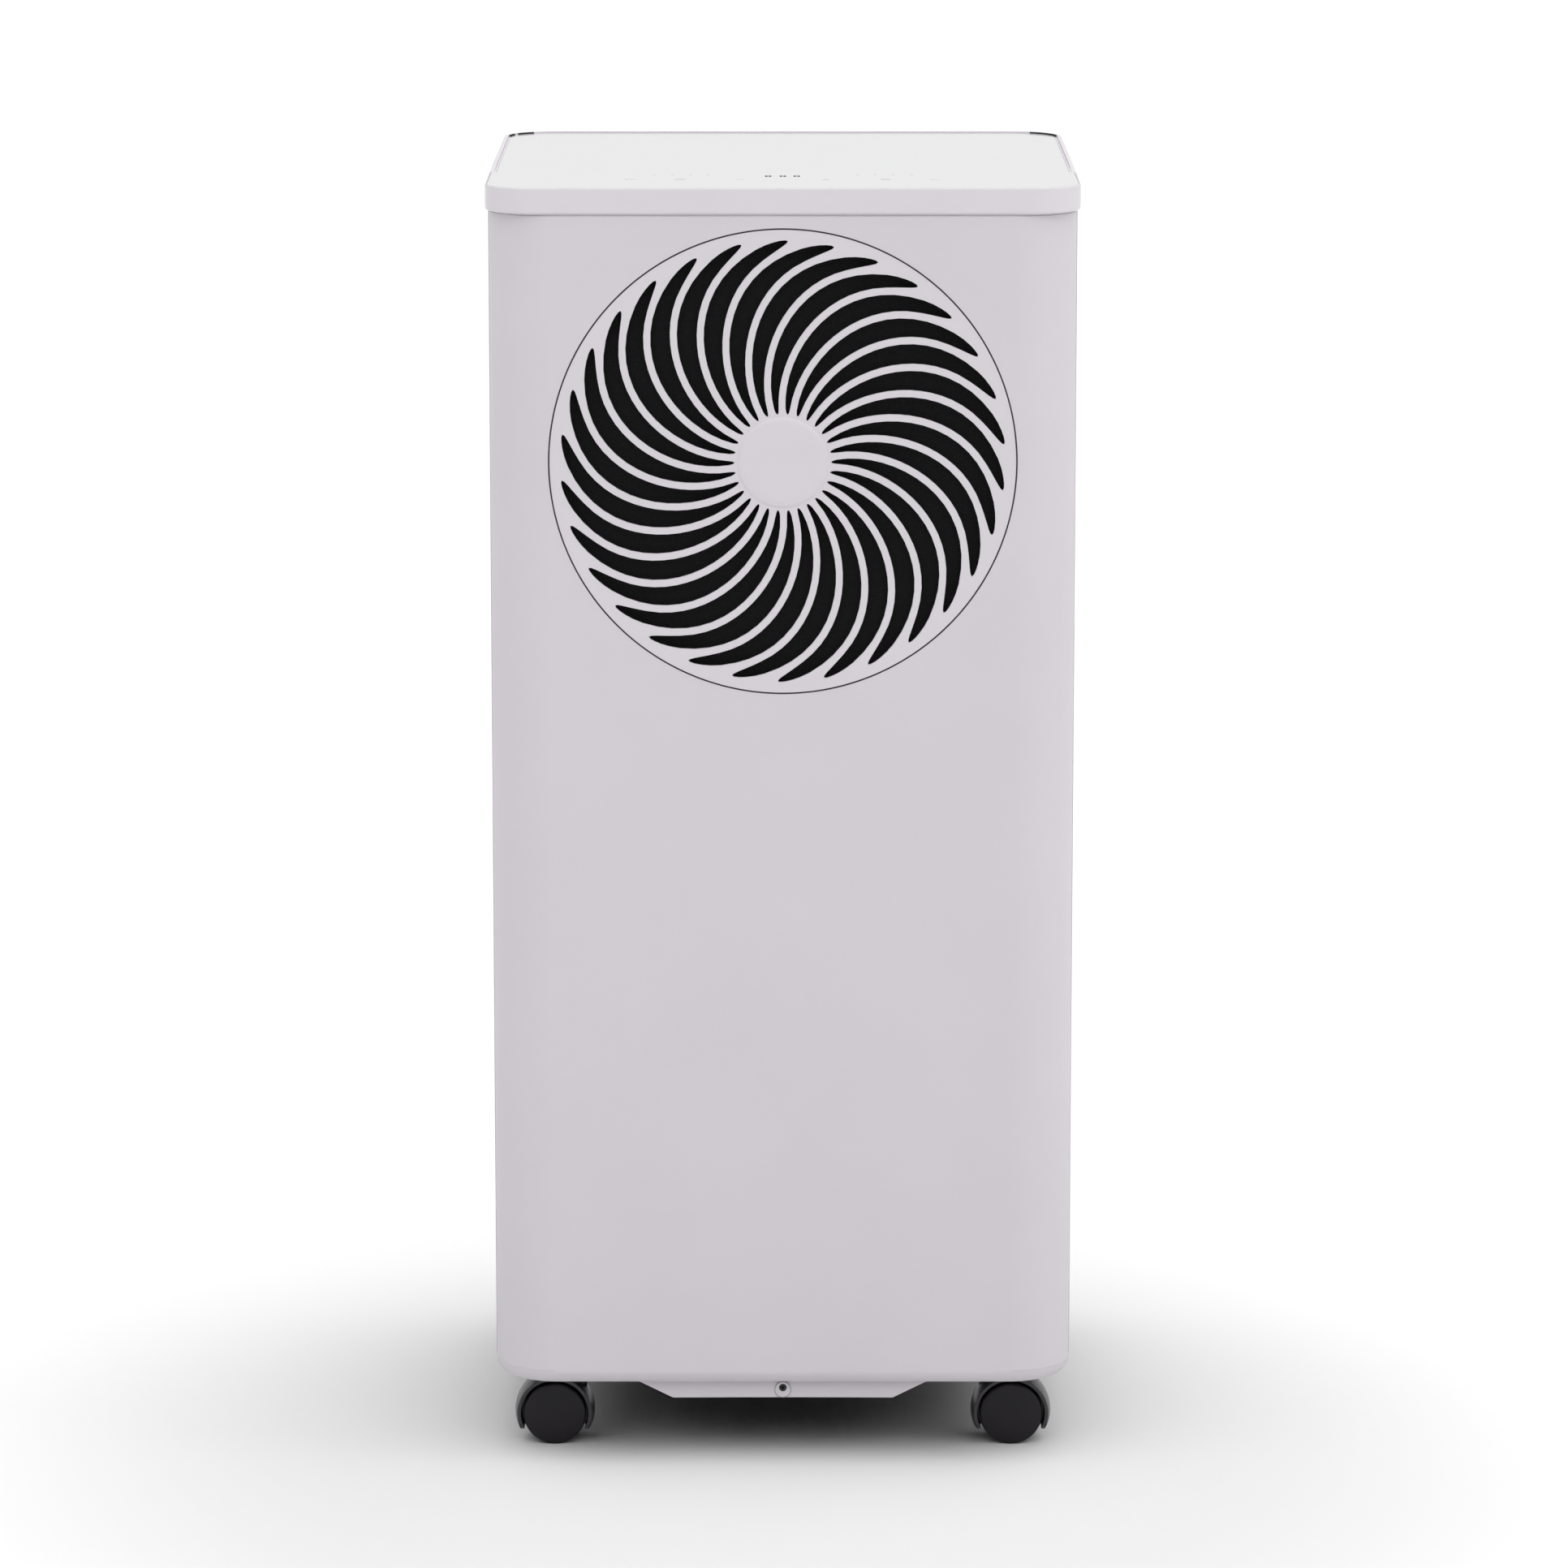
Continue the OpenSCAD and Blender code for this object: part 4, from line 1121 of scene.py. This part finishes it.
@dataclass
class Cooling:
    """The refrigerant circuit: both coils, the compressor and the copper lines.

    Attributes:
        fin_pitch: Distance between two fins.
        fin_thickness: Thickness of a fin.
        ripple: Depth of the waves pressed into a fin's long edges.
        waves: Number of half waves from the front of a fin to its back.
        rows: Number of rows of faces up a fin.
    """

    fin_pitch: float = mm(2.0)
    fin_thickness: float = mm(0.25)
    ripple: float = mm(0.35)
    waves: int = 7
    rows: int = 24

    def build(self) -> None:
        """Builds the coils, the compressor and the lines."""
        for coil in ("evaporator", "condenser"):
            self.fins(f"{coil}_fins")
            refine(f"{coil}_tubes", COPPER, mm(0.3))
        refine("compressor", ENAMEL, mm(0.8), 3)
        refine("compressor_feet", RUBBER, mm(0.6))
        refine("suction_accumulator", ENAMEL, mm(0.4))
        refine("copper_lines", COPPER, mm(0.2))

    def fins(self, node: str) -> None:
        """Builds a pack of thin rippled fins where the drawing has its thicker ones.

        Args:
            node: The CAD part of the pack.
        """
        low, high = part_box(node)
        middle = (low + high) / 2
        count = int((high.x - low.x) / self.fin_pitch)
        piece = primitive(f"{node}_pack", bpy.ops.mesh.primitive_cube_add, size=1.0)
        piece.scale = (self.fin_thickness, high.y - low.y, high.z - low.z)
        bpy.ops.object.transform_apply(location=False, rotation=False, scale=True)
        with editing(piece):
            for step in range(1, self.rows):
                cut((0, 0, (step / self.rows - 0.5) * (high.z - low.z)), (0, 0, 1))
            for step in range(1, self.waves):
                cut((0, (step / self.waves - 0.5) * (high.y - low.y), 0), (0, 1, 0))
        for vertex in piece.data.vertices:
            turns = vertex.co.y / (high.y - low.y) * self.waves
            vertex.co.x += self.ripple * math.cos(math.pi * turns)
        modify(
            piece,
            "ARRAY",
            count=count,
            use_relative_offset=False,
            use_constant_offset=True,
            constant_offset_displace=(self.fin_pitch, 0, 0),
        )
        reach = (count - 1) * self.fin_pitch
        piece.location = (middle.x - reach / 2, middle.y, middle.z)
        grab(piece)
        bpy.ops.object.transform_apply(location=True, rotation=False, scale=False)
        smooth(piece, angle=50)
        dress(piece, FIN_ALUMINIUM, node)


@dataclass
class Inside:
    """What the cabinet holds besides the refrigerant circuit."""

    def build(self) -> None:
        """Builds the chassis, the tray, the electrics and the sensors."""
        refine("chassis", INNER_PP, mm(0.4))
        refine("drip_tray", INNER_PP, mm(0.4))
        refine("drain_spigot", INNER_PP, mm(0.3))
        refine("hose_plug", RUBBER, mm(0.4))
        refine("control_box", INNER_PP, mm(0.4))
        refine("main_board", SOLDER_MASK, mm(0.2))
        refine("run_capacitor", CAN_STEEL, mm(0.4))
        refine("humidity_sensor", INNER_PP, mm(0.3))
        refine("tank_sensor", FAN_ABS, mm(0.3))


@dataclass
class Tank:
    """The pull-out water tank with its front, lid, bail and float.

    Attributes:
        mark_count: Number of level marks beside the window.
        mark_x: Place of the marks from side to side.
        low_mark: Height of the lowest mark.
        mark_pitch: Distance between two marks.
    """

    mark_count: int = 7
    mark_x: float = mm(73)
    low_mark: float = mm(122)
    mark_pitch: float = mm(16)

    def build(self) -> None:
        """Builds every part of the tank."""
        refine("water_tank", TANK_PS, mm(0.5), merge=True)
        refine("tank_front", COVER_ABS, mm(0.5), merge=True)
        refine("tank_lid", TANK_PS, mm(0.35), merge=True)
        refine("tank_handle", BAIL_ABS, mm(1.2), 3)
        refine("tank_float", FLOAT_FOAM, mm(0.8), 3)
        self.level_marks()

    def level_marks(self) -> None:
        """Prints plain level marks on the tank's front, beside its window."""
        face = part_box("tank_front")[1].y
        thickness, height = mm(0.06), mm(0.7)
        marks = []
        for step in range(self.mark_count):
            length = mm(6) if step % 2 == 0 else mm(3.5)
            mark = primitive(
                "level_mark",
                bpy.ops.mesh.primitive_cube_add,
                size=1.0,
                location=(self.mark_x, face, self.low_mark + step * self.mark_pitch),
                scale=(length, thickness, height),
            )
            marks.append(mark)
        piece = join("level_marks", marks)
        grab(piece)
        bpy.ops.object.transform_apply(location=True, rotation=True, scale=True)
        dress(piece, DARK_INK, "tank_front", stands=False)


@dataclass
class Casters:
    """The four swivel casters, each with a hood, its pins and two wheels."""

    def build(self) -> None:
        """Builds each caster at its corner."""
        for corner in CORNERS:
            refine(f"caster_hood_{corner}", BLACK_NYLON, mm(0.4))
            refine(f"caster_pins_{corner}", ZINC, mm(0.2))
            for side in ("front", "back"):
                refine(f"wheel_{side}_{corner}", WHEEL_NYLON, mm(0.3))


# ---------- studio ----------


@dataclass
class Studio:
    """The pale floor, the soft white room, its key lamp and the camera.

    Attributes:
        eye: Where the camera stands.
        tilt: How far it looks down, in degrees.
        lens: Its focal length in millimetres on a 36 mm sensor.
        glow_centre: Middle, front to back, of the floor's dimmer patch.
        near_floor: Distance from there at which the floor starts to glow.
        far_floor: Distance at which it glows fully.
        far_glow: Strength of that glow.
        dark_below: Height of a sky direction, from 0 to 1, up to which no light comes.
        bright_from: Height of one from which it is fully bright.
        sky_light: Strength of the light overhead.
        right_tilt: How much stronger it is on the right.
        front_tilt: How much stronger it is in front.
        mirror_light: Strength of the white walls as shiny surfaces mirror them.
    """

    eye: Triple = (0.00065, -3.930, 1.0827)
    tilt: float = 10.5
    lens: float = 161.2
    glow_centre: float = -0.22
    near_floor: float = 0.22
    far_floor: float = 0.6
    far_glow: float = 0.21
    dark_below: float = 0.26
    bright_from: float = 0.7
    sky_light: float = 1.57
    right_tilt: float = 0.12
    front_tilt: float = 0.6
    mirror_light: float = 0.82

    def build(self) -> None:
        """Builds the room and places the camera."""
        self.camera()
        self.floor()
        self.room()
        self.key_lamp()
        bpy.context.scene.view_settings.view_transform = "Standard"

    def camera(self) -> None:
        """Places the camera and makes it the scene's."""
        lens = bpy.data.cameras.new("camera")
        lens.lens = self.lens
        lens.sensor_width = 36.0
        lens.clip_end = 100.0
        eye = bpy.data.objects.new("camera", lens)
        eye.location = self.eye
        eye.rotation_euler = (math.radians(90 - self.tilt), 0, 0)
        bpy.context.scene.collection.objects.link(eye)
        bpy.context.scene.camera = eye

    def floor(self) -> None:
        """Lays a wide pale floor with painted light: it glows more with distance from a dimmer
        patch in front of the cabinet.
        """
        disc = bpy.ops.mesh.primitive_circle_add
        floor = primitive("floor", disc, vertices=96, radius=30.0, fill_type="NGON")
        paint = bpy.data.materials.new("floor_white_paper_painted_glow")
        paint.use_nodes = True
        tree = paint.node_tree
        tree.nodes.clear()
        distance = add_node(tree, "VectorMath", {
            "operation": "DISTANCE",
            1: (0.0, self.glow_centre, 0.0),
            0: add_node(tree, "TexCoord", {}).outputs["Object"],
        }).outputs["Value"]
        # painted light: the floor's emission grows with distance, brightening it away from the
        # cabinet
        glow = add_node(tree, "MapRange", {
            "interpolation_type": "SMOOTHSTEP",
            "From Min": self.near_floor,
            "From Max": self.far_floor,
            "To Max": self.far_glow,
            "Value": distance,
        })
        shader = add_node(tree, "BsdfPrincipled", {
            "Base Color": linear("dfdfdf"),
            "Roughness": 0.9,
            "IOR": 1.0,
            "Specular IOR Level": 0.0,
            "Emission Color": WHITE,
            "Emission Strength": glow.outputs["Result"],
        })
        add_node(tree, "OutputMaterial", {"Surface": shader.outputs["BSDF"]})
        floor.data.materials.append(paint)

    def room(self) -> None:
        """Fills the room with white light from above, strongest from the front and the right."""
        world = bpy.data.worlds.new("room")
        world.use_nodes = True
        tree = world.node_tree
        tree.nodes.clear()
        way = add_node(tree, "TexCoord", {}).outputs["Generated"]
        axes = add_node(tree, "SeparateXYZ", {0: way}).outputs
        height = add_node(tree, "MapRange", {
            "interpolation_type": "SMOOTHSTEP",
            "From Min": self.dark_below,
            "From Max": self.bright_from,
            "To Max": self.sky_light,
            "Value": axes["Z"],
        }).outputs["Result"]
        sideways = calculate(tree, "MULTIPLY_ADD", axes["X"], self.right_tilt, 1.0)
        tilted = calculate(tree, "MULTIPLY_ADD", axes["Y"], -self.front_tilt, sideways)
        strength = calculate(tree, "MULTIPLY", height, tilted)
        sky = add_node(tree, "Background", {"Color": WHITE, "Strength": strength})
        wall = add_node(tree, "Background", {"Color": WHITE, "Strength": 1.0})
        ray = add_node(tree, "LightPath", {}).outputs
        mirrored = calculate(tree, "MULTIPLY", ray["Is Glossy Ray"], self.mirror_light)
        mixed = add_node(tree, "MixShader", {
            0: calculate(tree, "MAXIMUM", ray["Is Camera Ray"], mirrored),
            1: sky.outputs["Background"],
            2: wall.outputs["Background"],
        })
        add_node(tree, "OutputWorld", {"Surface": mixed.outputs["Shader"]})
        bpy.context.scene.world = world

    def key_lamp(self) -> None:
        """Hangs the key lamp, a soft box on the right."""
        place, target = Vector((3.0, -0.6, 1.9)), Vector((0.0, 0.0, 0.4))
        lamp = bpy.data.lights.new("key", "AREA")
        lamp.size = 1.6
        lamp.energy = 10.0
        box = bpy.data.objects.new("key", lamp)
        box.location = place
        box.rotation_euler = (target - place).to_track_quat("-Z", "Y").to_euler()
        bpy.context.scene.collection.objects.link(box)


def main() -> None:
    """Builds the studio and every sub-assembly in order."""
    logging.basicConfig(level=logging.INFO, format="%(name)s: %(message)s")
    Studio().build()
    for assembly in (
        Covers(), Lid(), FrontGrille(), Intake(), Fan(), Cooling(), Inside(), Tank(), Casters(),
    ):
        assembly.build()
        log.info("%s is built", type(assembly).__name__)


if __name__ == "__main__":
    main()
